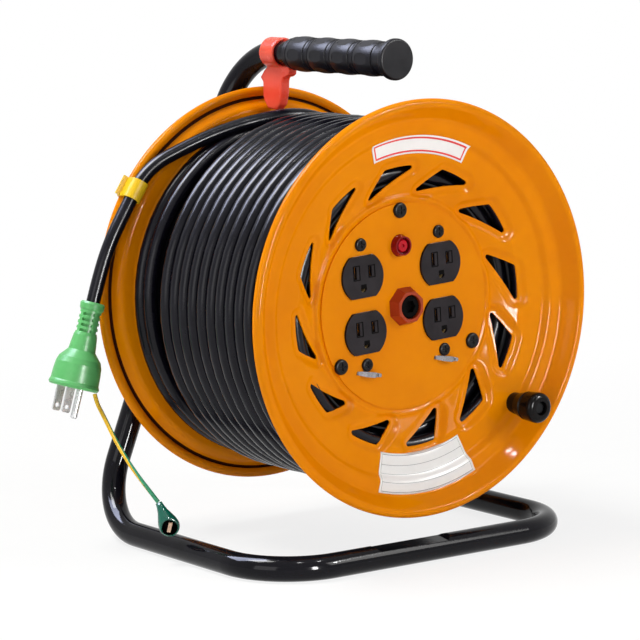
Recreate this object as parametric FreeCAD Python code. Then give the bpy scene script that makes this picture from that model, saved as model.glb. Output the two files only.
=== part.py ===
# Extension cord reel: a pressed steel drum with a four-way outlet panel, turning on an axle
# that a bent pipe stand with a carrying handle holds at the rear. Sizes are in millimetres.
# Pieces are drawn about the drum's axle: X to the right, Z up, and Y to the rear, counted
# from the plane of the front rim. They are moved to the stand's origin on the floor, under
# the middle of the object, when they are written.
import FreeCAD
import Part
import math
import os
from FreeCAD import Rotation, Vector

# Stand
PIPE_R = 8.65
PIPE_WALL = 1.6
PIPE_BEND_R = 50.0
HANDLE_BEND_R = 44.0
BASE_HALF_WIDTH = 133.0
BASE_FRONT_Y = -4.0
STAND_REAR_Y = 212.0
BASE_DROP = 166.0
HANDLE_RISE = 169.2
BRACE_BEND_Z = 60.0
BRACE_WELD_Z = 112.0
PIPE_JOINT_X = 17.0
JOINT_FLAT_LENGTH = 70.0
JOINT_FLAT_DEPTH = 2.4
JOINT_FLAT_TILT = 9.0
JOINT_FLAT_RAMP = 6.0
JOINT_SLEEVE_LENGTH = 60.0

# Axle and the bracket that holds it
AXLE_R = 6.0
AXLE_CLEARANCE = 0.05
RUNNING_GAP = 0.3
BRACKET_THICKNESS = 4.5
BRACKET_HEIGHT = 44.0
WASHER_THICKNESS = 1.0
WASHER_R = 11.0
AXLE_NUT_ACROSS = 18.0
AXLE_NUT_THICKNESS = 4.5
SPACER_R = 9.0
END_SCREW_HEAD_R = 7.9
END_SCREW_HEAD_HEIGHT = 4.8
END_SCREW_R = 3.0
END_SCREW_LENGTH = 14.0
END_SCREW_SOCKET = 8.0
END_SCREW_SOCKET_DEPTH = 3.8

# Grip and stopper on the handle
GRIP_REAR_Y = 149.0
GRIP_FRONT_Y = 28.9
GRIP_CREST_R = 12.7
GRIP_VALLEY_R = 11.05
GRIP_CREST_Y = (133.9, 107.8, 81.7, 55.5)
GRIP_DISC_R = 14.4
GRIP_DISC_THICKNESS = 5.0
GRIP_END_WALL = 4.0
GRIP_PADS = 6
GRIP_PAD_LENGTH = 13.0
GRIP_PAD_WIDTH = 8.5
GRIP_PAD_DEPTH = 0.7
STOPPER_RING_R = 11.0
STOPPER_RING_FRONT_Y = 160.5
STOPPER_RING_REAR_Y = 177.0
STOPPER_WIDTH = 7.4
STOPPER_TIP_Z = 128.0
STOPPER_TIP_FRONT_Y = 161.5
STOPPER_RIM_GAP = 1.8

# Drum: two pressed flanges, joined by a core tube
DRUM_WIDTH = 188.0
DRUM_REST_TURN = 3.53
SHEET = 1.0
RIM_BEAD_R = 3.6
RIM_BEAD_CENTRE_R = 140.4
RIM_CURL_END = 150.0
BAND_OUTER_R = 129.5
BAND_INNER_R = 120.5
BAND_Y = 8.0
FACE_OUTER_R = 116.5
FACE_OUTER_Y = 12.0
FACE_INNER_R = 97.0
FACE_INNER_Y = 15.0
PANEL_R = 78.5
PANEL_Y = 23.5
PANEL_OPENING_R = 63.5
DISH_BEND_R = 5.0
VENTS = 12
VENT_START_ANGLE = -8.0
VENT_OUTER_R = 97.6
VENT_OUTER_SPAN = 17.0
VENT_TIP_R = 77.8
VENT_TIP_TURN = 28.0
VENT_BOW = 1.6
VENT_CROWN = 0.9
VENT_CORNER_R = 1.4
CORE_TUBE_R = 86.2
CORE_TUBE_WALL = 1.2
REAR_BUSH_R = 12.0
REAR_BUSH_FLANGE_R = 17.0
REAR_BUSH_FLANGE = 3.0
REAR_BUSH_LENGTH = 14.0

# Outlet plate and what it carries, placed from the drum's axis
PLATE_R = 71.6
PLATE_SCREW_RING_R = 66.8
PLATE_SCREW_ANGLES = (90.0, 210.0, 330.0)
PLATE_SCREW_HEAD_R = 5.45
PLATE_SCREW_R = 1.6
OUTLETS_CENTRE_X = -1.36
OUTLETS_CENTRE_Z = 6.02
OUTLET_SPACING_X = 68.1
OUTLET_SPACING_Z = 38.9
OUTLET_FACE_R = 17.45
OUTLET_FACE_HEIGHT = 28.6
OUTLET_FACE_PROUD = 1.6
OUTLET_FACE_GAP = 0.3
OUTLET_BODY_WIDTH = 27.0
OUTLET_BODY_HEIGHT = 66.0
OUTLET_BODY_DEPTH = 24.0
SLOT_SPACING = 12.9
SLOT_WIDTH = 2.0
SLOT_LEFT_HEIGHT = 8.6
SLOT_RIGHT_HEIGHT = 7.0
SLOT_RISE = 3.3
EARTH_HOLE_DROP = 7.9
EARTH_HOLE_R = 2.6
EARTH_TUBE_BORE_R = 2.3
CONTACT_POCKET_DEPTH = 12.0
FACE_WALL = 2.2
STRAP_WIDTH = 12.0
STRAP_THICKNESS = 1.2
STRAP_SCREW_SPACING = 83.3
STRAP_SCREW_R = 1.7
STRAP_SCREW_HEAD_R = 4.55
LAMP_X = -1.4
LAMP_Z = 42.5
LAMP_FLANGE_R = 7.8
LAMP_BARREL_R = 6.0
LAMP_WELL_R = 5.7
LAMP_BORE_R = 4.9
LAMP_LENS_R = 4.3
LAMP_PROUD = 4.6
LAMP_LENS_SINK = 0.8
LAMP_DIMPLE_R = 1.3
HUB_BASE_R = 13.0
HUB_TIP_R = 10.4
HUB_PROUD = 7.4
HUB_BARREL_R = 12.0
HUB_BARREL_LENGTH = 18.0
HUB_RECESS_R = 8.5
HUB_RECESS_DEPTH = 7.5
HUB_RING_R = 17.0
HUB_RING_THICKNESS = 4.0
SADDLE_OFFSET_X = 1.0
SADDLE_OFFSET_Z = -6.7
SADDLE_LENGTH = 21.2
SADDLE_TILT = 13.0
SADDLE_END_HEIGHT = 2.2
SADDLE_HEIGHT = 3.7
SADDLE_FOOT = 4.4
SADDLE_RISE = 2.6
SADDLE_THICKNESS = 0.8
SADDLE_RIVET_SPACING = 17.8
SADDLE_RIVET_R = 1.3
SENSOR_WIDTH = 24.0
SENSOR_HEIGHT = 19.0
SENSOR_DEPTH = 18.0
SENSOR_CENTRE_Z = -40.0
TERMINAL_WIDTH = 44.0
TERMINAL_HEIGHT = 16.0
TERMINAL_DEPTH = 18.0
TERMINAL_CENTRE_Z = 38.0
ENTRY_BUSH_R = 8.0
ENTRY_BUSH_Y = 120.0
ENTRY_BUSH_ANGLE = 60.0

# Crank knob on its riveted pin
CRANK_RING_R = 118.9
CRANK_ANGLE = -43.66
CRANK_PIN_R = 3.0
CRANK_COLLAR_R = 7.8
CRANK_COLLAR_FRONT_Y = 6.0
CRANK_RIVET_R = 5.0
CRANK_RIVET_THICKNESS = 1.3
KNOB_REAR_R = 8.2
KNOB_FLARE_R = 10.2
KNOB_WAIST_Y = -3.0
KNOB_WAIST_R = 9.6
KNOB_BACK_R = 10.4
KNOB_FRONT_R = 10.9
KNOB_TIP_Y = -16.5
KNOB_EDGE_R = 4.5
KNOB_RECESS_R = 5.0
KNOB_RECESS_DEPTH = 5.0
PIN_HEAD_R = 4.6
PIN_HEAD_THICKNESS = 2.4

# Wound cable
CABLE_R = 5.0
WINDING_PITCH = 10.45
OUTER_TURN_R = 123.5
OUTER_START_Y = 14.4
OUTER_TURNS = 11.5
OUTER_START_ANGLE = -30.0
DEEP_TURN_R = 114.5
DEEP_FIRST_Y = 158.7
DEEP_START_ANGLE = 40.0
DEEP_FLAT_TURN = 260.0
DEEP_STEP_TURN = 360.0 - DEEP_FLAT_TURN
CORE_FRONT_Y = 17.0
GROOVE_FRONT_Y = 141.2
GROOVE_REAR_Y = 153.4
GROOVE_FLOOR_R = 97.4
CORE_SHOULDER_R = 95.5
WINDING_SIDES_GAP = 0.3

# Free end of the cord: route points of its centre line, chosen by hand, plug and clip
CORD_ROUTE = (
    (97.4, 148.0, -35.4), (107.0, 148.0, 0.0), (104.3, 148.0, 38.0), (88.1, 148.0, 73.9),
    (62.0, 148.0, 101.5), (32.0, 148.0, 118.7), (2.0, 148.2, 126.4), (-28.0, 155.0, 122.6),
    (-53.5, 165.2, 115.2), (-76.8, 171.9, 105.9), (-107.7, 179.0, 91.4),
    (-126.8, 179.0, 62.0), (-138.8, 179.0, 42.2), (-148.1, 179.0, 20.6), (-154.4, 179.0, 0.0),
)
CLIP_ANGLE = 147.0
CLIP_LENGTH = 14.5
CLIP_WALL = 1.3
CLIP_RIM_GAP = 0.3
CLIP_CORD_GAP = 0.3
PLUG_TILT = 17.0
PLUG_LENGTH = 61.5
PLUG_LIP_R = 18.1
PLUG_COLLAR_R = 8.8
PLUG_SLOTS = 4
PLUG_SLOT_PITCH = 3.9
PLUG_SLOT_WIDTH = 1.9
PLUG_SLOT_DEPTH = 2.0
BLADE_SPACING = 12.7
BLADE_WIDTH = 6.3
BLADE_THICKNESS = 1.5
BLADE_LENGTH = 17.8
BLADE_HOLE_R = 1.6
EARTH_PIN_R = 2.4
EARTH_PIN_LENGTH = 21.0
EARTH_PIN_OFFSET = 11.9
LEAD_R = 1.5
LEAD_ROUTE = (
    (-160.6, 169.7, -63.1), (-160.4, 167.5, -69.1), (-159.3, 163.0, -75.4),
    (-159.0, 156.0, -83.0), (-159.4, 147.0, -91.6), (-159.5, 136.5, -100.5),
    (-158.8, 126.0, -109.4), (-156.4, 115.5, -119.0), (-153.4, 109.0, -126.4),
    (-150.8, 106.2, -131.4),
)
BOOT_TAIL = (-150.6, 106.0, -131.8)
BOOT_MOUTH = (-146.2, 94.7, -153.6)
BOOT_TAIL_R = 2.6
BOOT_BODY_R = 7.2
BOOT_MOUTH_R = 5.4

SOLIDS = {}
AXIS_Y = Vector(0.0, 1.0, 0.0)
PIPE_REAR_Y = STAND_REAR_Y + PIPE_R
MIDDLE_Y = (KNOB_TIP_Y + PIPE_REAR_Y) / 2.0
AXLE_HEIGHT = BASE_DROP + PIPE_R


def place_on_floor(shape):
    """The shape moved from the drum's axis to the origin on the floor."""
    return shape.translated(Vector(0.0, -MIDDLE_Y, AXLE_HEIGHT))


def keep(name, shape, on_drum=False):
    """Keep a finished piece, turned with the drum to its place at rest."""
    if on_drum:
        shape = shape.rotated(Vector(0.0, 0.0, 0.0), AXIS_Y, -DRUM_REST_TURN)
    SOLIDS[name] = place_on_floor(shape)


def polar(radius, angle, y=0.0):
    """A point at a radius and an angle from +X towards +Z about the axle."""
    turn = math.radians(angle)
    return Vector(radius * math.cos(turn), y, radius * math.sin(turn))


def cylinder(radius, y0, y1, x=0.0, z=0.0):
    """A round bar along Y, from y0 to y1."""
    return Part.makeCylinder(radius, y1 - y0, Vector(x, y0, z), AXIS_Y)


def tube(outer_r, inner_r, y0, y1, x=0.0, z=0.0):
    """A round tube along Y."""
    return cylinder(outer_r, y0, y1, x, z).cut(cylinder(inner_r, y0, y1, x, z))


def box(x0, x1, y0, y1, z0, z1):
    """A box given by its limits."""
    return Part.makeBox(x1 - x0, y1 - y0, z1 - z0, Vector(x0, y0, z0))


def polygon_face(points):
    """A flat face through the points, closed."""
    return Part.Face(Part.makePolygon(list(points) + [points[0]]))


def turned(points, x=0.0, z=0.0):
    """A solid of revolution about the Y line through x, z, from (radius, y) points."""
    face = polygon_face([Vector(r, y, 0.0) for r, y in points])
    solid = face.revolve(Vector(0.0, 0.0, 0.0), AXIS_Y, 360.0)
    return solid.translated(Vector(x, 0.0, z))


def round_edges(solid, radius, wanted):
    """Fillet the edges that the test picks out."""
    return solid.makeFillet(radius, [edge for edge in solid.Edges if wanted(edge)])


def runs_along_y(edge):
    """True for a straight edge parallel to the axle."""
    if edge.Curve.TypeId != "Part::GeomLine":
        return False
    return abs(edge.tangentAt(edge.FirstParameter).y) > 0.999


def route_edges(points, radii):
    """Straight runs through the points, joined by tangent arcs of the given radii."""
    edges = []
    start = points[0]
    for before, corner, after, radius in zip(points, points[1:], points[2:], radii):
        inward = (corner - before).normalize()
        outward = (after - corner).normalize()
        half_turn = inward.getAngle(outward) / 2.0
        reach = radius * math.tan(half_turn)
        arc_start = corner - inward * reach
        arc_end = corner + outward * reach
        towards_centre = (outward - inward).normalize()
        arc_middle = corner + towards_centre * (radius / math.cos(half_turn) - radius)
        edges.append(Part.makeLine(start, arc_start))
        edges.append(Part.Arc(arc_start, arc_middle, arc_end).toShape())
        start = arc_end
    edges.append(Part.makeLine(start, points[-1]))
    return edges


def swept_round(edges, radius):
    """A round bar swept along joined edges."""
    path = Part.Wire(edges)
    start = edges[0].valueAt(edges[0].FirstParameter)
    direction = edges[0].tangentAt(edges[0].FirstParameter)
    section = Part.Wire([Part.makeCircle(radius, start, direction)])
    return path.makePipeShell([section], True, False)


def widest_radii(points):
    """For each inner point of a route, the widest arc that its two runs allow."""
    radii = []
    for before, corner, after in zip(points, points[1:], points[2:]):
        inward = corner - before
        outward = after - corner
        half_turn = inward.getAngle(outward) / 2.0
        radii.append(0.45 * min(inward.Length, outward.Length) / math.tan(half_turn))
    return radii


def cord(name, route, radius):
    """A free cord along its route, with its radii and volume printed as a check."""
    points = [Vector(*point) for point in route]
    radii = widest_radii(points)
    edges = route_edges(points, radii)
    solid = swept_round(edges, radius)
    length = sum(edge.Length for edge in edges)
    expected = math.pi * radius ** 2 * length
    print(name, "length %.1f" % length, "least radius %.1f" % min(radii),
          "volume ratio %.4f" % (solid.Volume / expected))
    return solid


# Stand

def leg_x(z):
    """Distance of a leg's centre line from the middle plane at a height."""
    return BASE_HALF_WIDTH * (HANDLE_RISE - z) / (HANDLE_RISE + BASE_DROP)


def left_pipe_points():
    """Centre line from the grip down the left leg and round to the joint in front."""
    return [
        Vector(0.0, GRIP_FRONT_Y + GRIP_END_WALL, HANDLE_RISE),
        Vector(0.0, STAND_REAR_Y, HANDLE_RISE),
        Vector(-BASE_HALF_WIDTH, STAND_REAR_Y, -BASE_DROP),
        Vector(-BASE_HALF_WIDTH, BASE_FRONT_Y, -BASE_DROP),
        Vector(PIPE_JOINT_X, BASE_FRONT_Y, -BASE_DROP),
    ]


def right_pipe_points():
    """Centre line from the joint in front round and up the right leg to the left one."""
    return [
        Vector(PIPE_JOINT_X, BASE_FRONT_Y, -BASE_DROP),
        Vector(BASE_HALF_WIDTH, BASE_FRONT_Y, -BASE_DROP),
        Vector(BASE_HALF_WIDTH, STAND_REAR_Y, -BASE_DROP),
        Vector(leg_x(BRACE_BEND_Z), STAND_REAR_Y, BRACE_BEND_Z),
        Vector(-leg_x(BRACE_WELD_Z), STAND_REAR_Y, BRACE_WELD_Z),
    ]


def joint_flat(depth):
    """What is pressed away where the front run is flattened beside its joint."""
    top = PIPE_R + 1.0
    flat = PIPE_R - JOINT_FLAT_DEPTH - depth
    x1 = PIPE_JOINT_X
    x0 = x1 - JOINT_FLAT_LENGTH
    outline = [Vector(x0, 0.0, top), Vector(x0 + JOINT_FLAT_RAMP, 0.0, flat),
               Vector(x1 - JOINT_FLAT_RAMP, 0.0, flat), Vector(x1, 0.0, top)]
    outline = [point + Vector(0.0, -2.0 * PIPE_R, 0.0) for point in outline]
    solid = polygon_face(outline).extrude(Vector(0.0, 4.0 * PIPE_R, 0.0))
    solid = solid.rotated(Vector(0.0, 0.0, 0.0), Vector(1.0, 0.0, 0.0), JOINT_FLAT_TILT)
    return solid.translated(Vector(0.0, BASE_FRONT_Y, -BASE_DROP))


def make_stand():
    """The two bent pipes, the sleeve inside their joint and the bracket between the legs."""
    left_edges = route_edges(left_pipe_points(), [HANDLE_BEND_R, PIPE_BEND_R, PIPE_BEND_R])
    right_edges = route_edges(right_pipe_points(), [PIPE_BEND_R] * 3)
    left_full = swept_round(left_edges, PIPE_R)
    right_full = swept_round(right_edges, PIPE_R)
    left_bore = swept_round(left_edges, PIPE_R - PIPE_WALL)
    right_bore = swept_round(right_edges, PIPE_R - PIPE_WALL)
    left = left_full.cut(joint_flat(0.0)).cut(left_bore.cut(joint_flat(PIPE_WALL)))
    right = right_full.cut(right_bore).cut(left_full)
    keep("frame_pipe_left", largest(left))
    keep("frame_pipe_right", largest(right))

    sleeve_r = PIPE_R - PIPE_WALL
    x0 = PIPE_JOINT_X
    sleeve = Part.makeCylinder(sleeve_r, JOINT_SLEEVE_LENGTH / 2.0,
                               Vector(x0, BASE_FRONT_Y, -BASE_DROP), Vector(1.0, 0.0, 0.0))
    keep("pipe_joint_sleeve", sleeve)

    plate_front = STAND_REAR_Y - BRACKET_THICKNESS / 2.0
    plate_rear = STAND_REAR_Y + BRACKET_THICKNESS / 2.0
    plate = box(-BASE_HALF_WIDTH / 1.5, BASE_HALF_WIDTH / 1.5, plate_front, plate_rear,
                -BRACKET_HEIGHT / 2.0, BRACKET_HEIGHT / 2.0)
    plate = plate.cut(left_full).cut(right_full)
    plate = largest(plate).cut(cylinder(AXLE_R, plate_front, plate_rear))
    keep("axle_bracket", plate)
    return plate_front, plate_rear


def largest(shape):
    """The largest solid of a shape that a cut has parted."""
    return max(shape.Solids, key=lambda solid: solid.Volume)


def hexagon(across, y0, y1):
    """A hexagonal prism along the axle."""
    corner_r = across / math.sqrt(3.0)
    points = [polar(corner_r, 60.0 * corner, y0) for corner in range(6)]
    return polygon_face(points).extrude(Vector(0.0, y1 - y0, 0.0))


def make_axle(plate_front, plate_rear):
    """The axle, its nut, its spacer and the screw and washer that hold the drum on."""
    shoulder_y = PANEL_Y - SHEET - HUB_PROUD + HUB_RECESS_DEPTH
    axle_front = shoulder_y - RUNNING_GAP
    washer_rear = plate_rear + WASHER_THICKNESS
    nut_rear = washer_rear + AXLE_NUT_THICKNESS
    axle = cylinder(AXLE_R, axle_front, nut_rear + 0.8)
    axle = axle.cut(cylinder(END_SCREW_R, axle_front, axle_front + END_SCREW_LENGTH))
    keep("axle", axle)
    keep("axle_washer", tube(WASHER_R, AXLE_R, plate_rear, washer_rear))
    nut = hexagon(AXLE_NUT_ACROSS, washer_rear, nut_rear)
    keep("axle_nut", nut.cut(cylinder(AXLE_R, washer_rear, nut_rear)))

    bush_rear = DRUM_WIDTH - PANEL_Y + REAR_BUSH_FLANGE
    keep("axle_spacer", tube(SPACER_R, AXLE_R, bush_rear + RUNNING_GAP, plate_front))

    washer_front = axle_front - WASHER_THICKNESS
    head_front = washer_front - END_SCREW_HEAD_HEIGHT
    keep("end_washer", tube(END_SCREW_HEAD_R + 0.2, END_SCREW_R, washer_front, axle_front))
    head = cylinder(END_SCREW_HEAD_R, head_front, washer_front)
    head = round_edges(head, 1.2, lambda edge: edge.CenterOfMass.y < head_front + 0.01
                       and edge.Curve.TypeId == "Part::GeomCircle")
    head = head.cut(hexagon(END_SCREW_SOCKET, head_front - 1.0,
                            head_front + END_SCREW_SOCKET_DEPTH))
    shank = cylinder(END_SCREW_R, washer_front, axle_front + END_SCREW_LENGTH)
    keep("end_screw", head.fuse(shank))


def make_grip():
    """The rubber grip: four finger bulges with pads, a closed front and its disc."""
    outline = [Vector(PIPE_R, GRIP_REAR_Y, 0.0), Vector(GRIP_VALLEY_R, GRIP_REAR_Y, 0.0)]
    edges = [Part.makeLine(outline[0], outline[1])]
    half_pitch = (GRIP_CREST_Y[0] - GRIP_CREST_Y[-1]) / (len(GRIP_CREST_Y) - 1) / 2.0
    start = outline[1]
    for crest_y in GRIP_CREST_Y:
        rear = Vector(GRIP_VALLEY_R, crest_y + half_pitch * 0.92, 0.0)
        front = Vector(GRIP_VALLEY_R, crest_y - half_pitch * 0.92, 0.0)
        edges.append(Part.makeLine(start, rear))
        edges.append(Part.Arc(rear, Vector(GRIP_CREST_R, crest_y, 0.0), front).toShape())
        start = front
    disc_rear = GRIP_FRONT_Y + GRIP_DISC_THICKNESS
    pipe_end = GRIP_FRONT_Y + GRIP_END_WALL
    rest = [start, Vector(GRIP_VALLEY_R, disc_rear, 0.0), Vector(GRIP_DISC_R, disc_rear, 0.0),
            Vector(GRIP_DISC_R, GRIP_FRONT_Y, 0.0), Vector(0.0, GRIP_FRONT_Y, 0.0),
            Vector(0.0, pipe_end, 0.0), Vector(PIPE_R, pipe_end, 0.0), outline[0]]
    edges += [Part.makeLine(a, b) for a, b in zip(rest, rest[1:])]
    grip = Part.Face(Part.Wire(edges)).revolve(Vector(0.0, 0.0, 0.0), AXIS_Y, 360.0)
    grip = round_edges(grip, 1.6, lambda edge: edge.Curve.TypeId == "Part::GeomCircle"
                       and abs(edge.Curve.Radius - GRIP_DISC_R) < 0.01)
    for crest_y in GRIP_CREST_Y:
        for pad in range(GRIP_PADS):
            grip = grip.cut(grip_pad(crest_y, 360.0 * pad / GRIP_PADS))
    keep("handle_grip", grip.translated(Vector(0.0, 0.0, HANDLE_RISE)))


def grip_pad(crest_y, angle):
    """The shallow recess round one pad of the grip: a flat cut with rounded ends."""
    low = GRIP_CREST_R - GRIP_PAD_DEPTH
    pad = box(low, low + 3.0, crest_y - GRIP_PAD_LENGTH / 2.0, crest_y + GRIP_PAD_LENGTH / 2.0,
              -GRIP_PAD_WIDTH / 2.0, GRIP_PAD_WIDTH / 2.0)
    return pad.rotated(Vector(0.0, 0.0, 0.0), AXIS_Y, angle)


def make_stopper():
    """The stopper that swings on the handle pipe and drops its tongue behind the rim."""
    bend_start = STAND_REAR_Y - HANDLE_BEND_R
    bore_r = PIPE_R + AXLE_CLEARANCE
    drop = HANDLE_BEND_R - math.sqrt(HANDLE_BEND_R ** 2 - (STOPPER_RING_REAR_Y - bend_start) ** 2)
    lean = math.asin((STOPPER_RING_REAR_Y - bend_start) / HANDLE_BEND_R)
    flare_r = PIPE_R / math.cos(lean) + drop + RUNNING_GAP
    tongue_rear = DRUM_WIDTH - RIM_BEAD_R - STOPPER_RIM_GAP
    outline = [
        (150.0, 157.4), (150.6, 154.2), (153.4, 152.4), (157.4, 151.8),
        (STOPPER_TIP_FRONT_Y - 2.8, 148.6), (STOPPER_TIP_FRONT_Y - 2.2, 140.0),
        (STOPPER_TIP_FRONT_Y, 132.0), (STOPPER_TIP_FRONT_Y + 4.5, STOPPER_TIP_Z),
        (tongue_rear - 6.0, STOPPER_TIP_Z + 0.6),
        (tongue_rear - 3.5, STOPPER_TIP_Z + 3.5), (tongue_rear, 136.8), (tongue_rear, 147.6),
        (tongue_rear + 3.0, 150.6), (STOPPER_RING_REAR_Y + 3.4, 156.3),
        (STOPPER_RING_REAR_Y, 158.8), (STOPPER_RING_REAR_Y, HANDLE_RISE),
        (STOPPER_RING_FRONT_Y, HANDLE_RISE), (STOPPER_RING_FRONT_Y, 160.0), (151.0, 160.0),
    ]
    face = polygon_face([Vector(-STOPPER_WIDTH / 2.0, y, z) for y, z in outline])
    blade = face.extrude(Vector(STOPPER_WIDTH, 0.0, 0.0))
    blade = round_edges(blade, 1.2, lambda edge: abs(edge.CenterOfMass.x) > STOPPER_WIDTH / 2.0
                        - 0.01 and edge.CenterOfMass.z < 151.0)
    ring = cylinder(STOPPER_RING_R, STOPPER_RING_FRONT_Y, STOPPER_RING_REAR_Y, 0.0, HANDLE_RISE)
    whole = ring.fuse(blade)
    bore = turned([(0.0, GRIP_REAR_Y), (bore_r, GRIP_REAR_Y), (bore_r, bend_start),
                   (flare_r, STOPPER_RING_REAR_Y), (flare_r, 190.0), (0.0, 190.0)],
                  0.0, HANDLE_RISE)
    keep("stopper", whole.cut(bore).removeSplitter())


# Drum

def dish_points():
    """The front surface of the pressed dish, as (radius, y), from the rim to the opening."""
    return [(BAND_OUTER_R, BAND_Y), (BAND_INNER_R, BAND_Y), (FACE_OUTER_R, FACE_OUTER_Y),
            (FACE_INNER_R, FACE_INNER_Y), (PANEL_R, PANEL_Y), (PANEL_OPENING_R, PANEL_Y)]


def rim_tangent():
    """Where the dish leaves the rim bead, tangent to it: its angle round the bead."""
    dr = BAND_OUTER_R - RIM_BEAD_CENTRE_R
    dy = BAND_Y
    distance = math.hypot(dr, dy)
    return math.atan2(dy, dr) + math.acos(RIM_BEAD_R / distance)


def bead_point(radius, angle):
    """A point on the rim bead's section."""
    return Vector(RIM_BEAD_CENTRE_R + radius * math.cos(angle), radius * math.sin(angle), 0.0)


def offset_points(points, distance):
    """The corners of a path set off to its right-hand side."""
    normals = []
    for (x0, y0), (x1, y1) in zip(points, points[1:]):
        length = math.hypot(x1 - x0, y1 - y0)
        normals.append(((y1 - y0) / length, -(x1 - x0) / length))
    moved = [(points[0][0] + distance * normals[0][0], points[0][1] + distance * normals[0][1])]
    for (x, y), (ax, ay), (bx, by) in zip(points[1:], normals, normals[1:]):
        scale = distance / (1.0 + ax * bx + ay * by)
        moved.append((x + scale * (ax + bx), y + scale * (ay + by)))
    last = normals[-1]
    moved.append((points[-1][0] + distance * last[0], points[-1][1] + distance * last[1]))
    return moved


def sheet_radii(points, sheet):
    """Bend radii on the side that is set off, wider or narrower with the way of the turn."""
    radii = []
    for (x0, y0), (x1, y1), (x2, y2) in zip(points, points[1:], points[2:]):
        turn = (x1 - x0) * (y2 - y1) - (y1 - y0) * (x2 - x1)
        radii.append(DISH_BEND_R - sheet if turn < 0.0 else DISH_BEND_R + sheet)
    return radii


def flange_path():
    """The dish's front surface with the point where it leaves the rim bead."""
    angle = rim_tangent()
    leave = bead_point(RIM_BEAD_R, angle)
    return angle, [(leave.x, leave.y)] + dish_points()


def dish_back_y(radius):
    """Y of the dish's winding side at a radius within its straight cone and face."""
    back = offset_points(flange_path()[1], SHEET)
    for (r0, y0), (r1, y1) in zip(back, back[1:]):
        if r1 <= radius <= r0:
            return y0 + (y1 - y0) * (radius - r0) / (r1 - r0)
    return PANEL_Y + SHEET


def flange_section(opening_r):
    """Section of a flange: curled rim, dish and flat panel, as one bent sheet."""
    angle, front = flange_path()
    front[-1] = (opening_r, PANEL_Y)
    back = offset_points(front, SHEET)
    curl_start = math.radians(RIM_CURL_END)
    middle = (curl_start + angle - 2.0 * math.pi) / 2.0 if angle > 0.0 else (curl_start + angle) / 2.0
    front_edges = route_edges([Vector(r, y, 0.0) for r, y in front], [DISH_BEND_R] * (len(front) - 2))
    back_edges = route_edges([Vector(r, y, 0.0) for r, y in back], sheet_radii(front, SHEET))
    outer_curl = Part.Arc(bead_point(RIM_BEAD_R, curl_start), bead_point(RIM_BEAD_R, middle),
                          bead_point(RIM_BEAD_R, angle)).toShape()
    inner_r = RIM_BEAD_R - SHEET
    inner_curl = Part.Arc(bead_point(inner_r, curl_start), bead_point(inner_r, middle),
                          bead_point(inner_r, angle)).toShape()
    lip = Part.makeLine(bead_point(RIM_BEAD_R, curl_start), bead_point(inner_r, curl_start))
    bore = Part.makeLine(Vector(opening_r, PANEL_Y, 0.0), Vector(opening_r, PANEL_Y + SHEET, 0.0))
    edges = [outer_curl, inner_curl, lip, bore] + front_edges + back_edges
    return Part.Face(Part.Wire(Part.__sortEdges__(edges)))


def vent_cutter(turn):
    """One swept-back vent: a bowed outer side, a crowned side and a hollow one."""
    start = VENT_START_ANGLE + turn
    first = polar(VENT_OUTER_R, start)
    second = polar(VENT_OUTER_R, start + VENT_OUTER_SPAN)
    bulge = polar(VENT_OUTER_R, start + VENT_OUTER_SPAN / 2.0)
    tip = polar(VENT_TIP_R, start + VENT_TIP_TURN)
    middle = (first + tip) * 0.5
    inward = (second - middle).normalize()
    hollow = middle + inward * VENT_BOW
    side = (second + tip) * 0.5
    crown = side + (side - first).normalize() * VENT_CROWN
    wire = Part.Wire([Part.Arc(first, bulge, second).toShape(),
                      Part.Arc(second, crown, tip).toShape(),
                      Part.Arc(tip, hollow, first).toShape()])
    prism = Part.Face(wire).extrude(Vector(0.0, PANEL_Y + 10.0, 0.0))
    return round_edges(prism, VENT_CORNER_R, runs_along_y)


def make_flanges():
    """Both flanges: the same pressing, the rear one turned round and left closed."""
    origin = Vector(0.0, 0.0, 0.0)
    vents = [vent_cutter(360.0 * number / VENTS) for number in range(VENTS)]
    front = flange_section(PANEL_OPENING_R).revolve(origin, AXIS_Y, 360.0).cut(vents)
    for angle in PLATE_SCREW_ANGLES:
        spot = polar(PLATE_SCREW_RING_R, angle)
        front = front.cut(cylinder(PLATE_SCREW_R, 0.0, PANEL_Y + 10.0, spot.x, spot.z))
    pin = polar(CRANK_RING_R, CRANK_ANGLE)
    front = front.cut(cylinder(CRANK_PIN_R, 0.0, PANEL_Y, pin.x, pin.z))
    keep("front_flange", front, on_drum=True)

    rear = flange_section(REAR_BUSH_R).revolve(origin, AXIS_Y, 360.0).cut(vents)
    rear = rear.rotated(Vector(0.0, DRUM_WIDTH / 2.0, 0.0), Vector(0.0, 0.0, 1.0), 180.0)
    keep("rear_flange", rear, on_drum=True)


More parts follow.
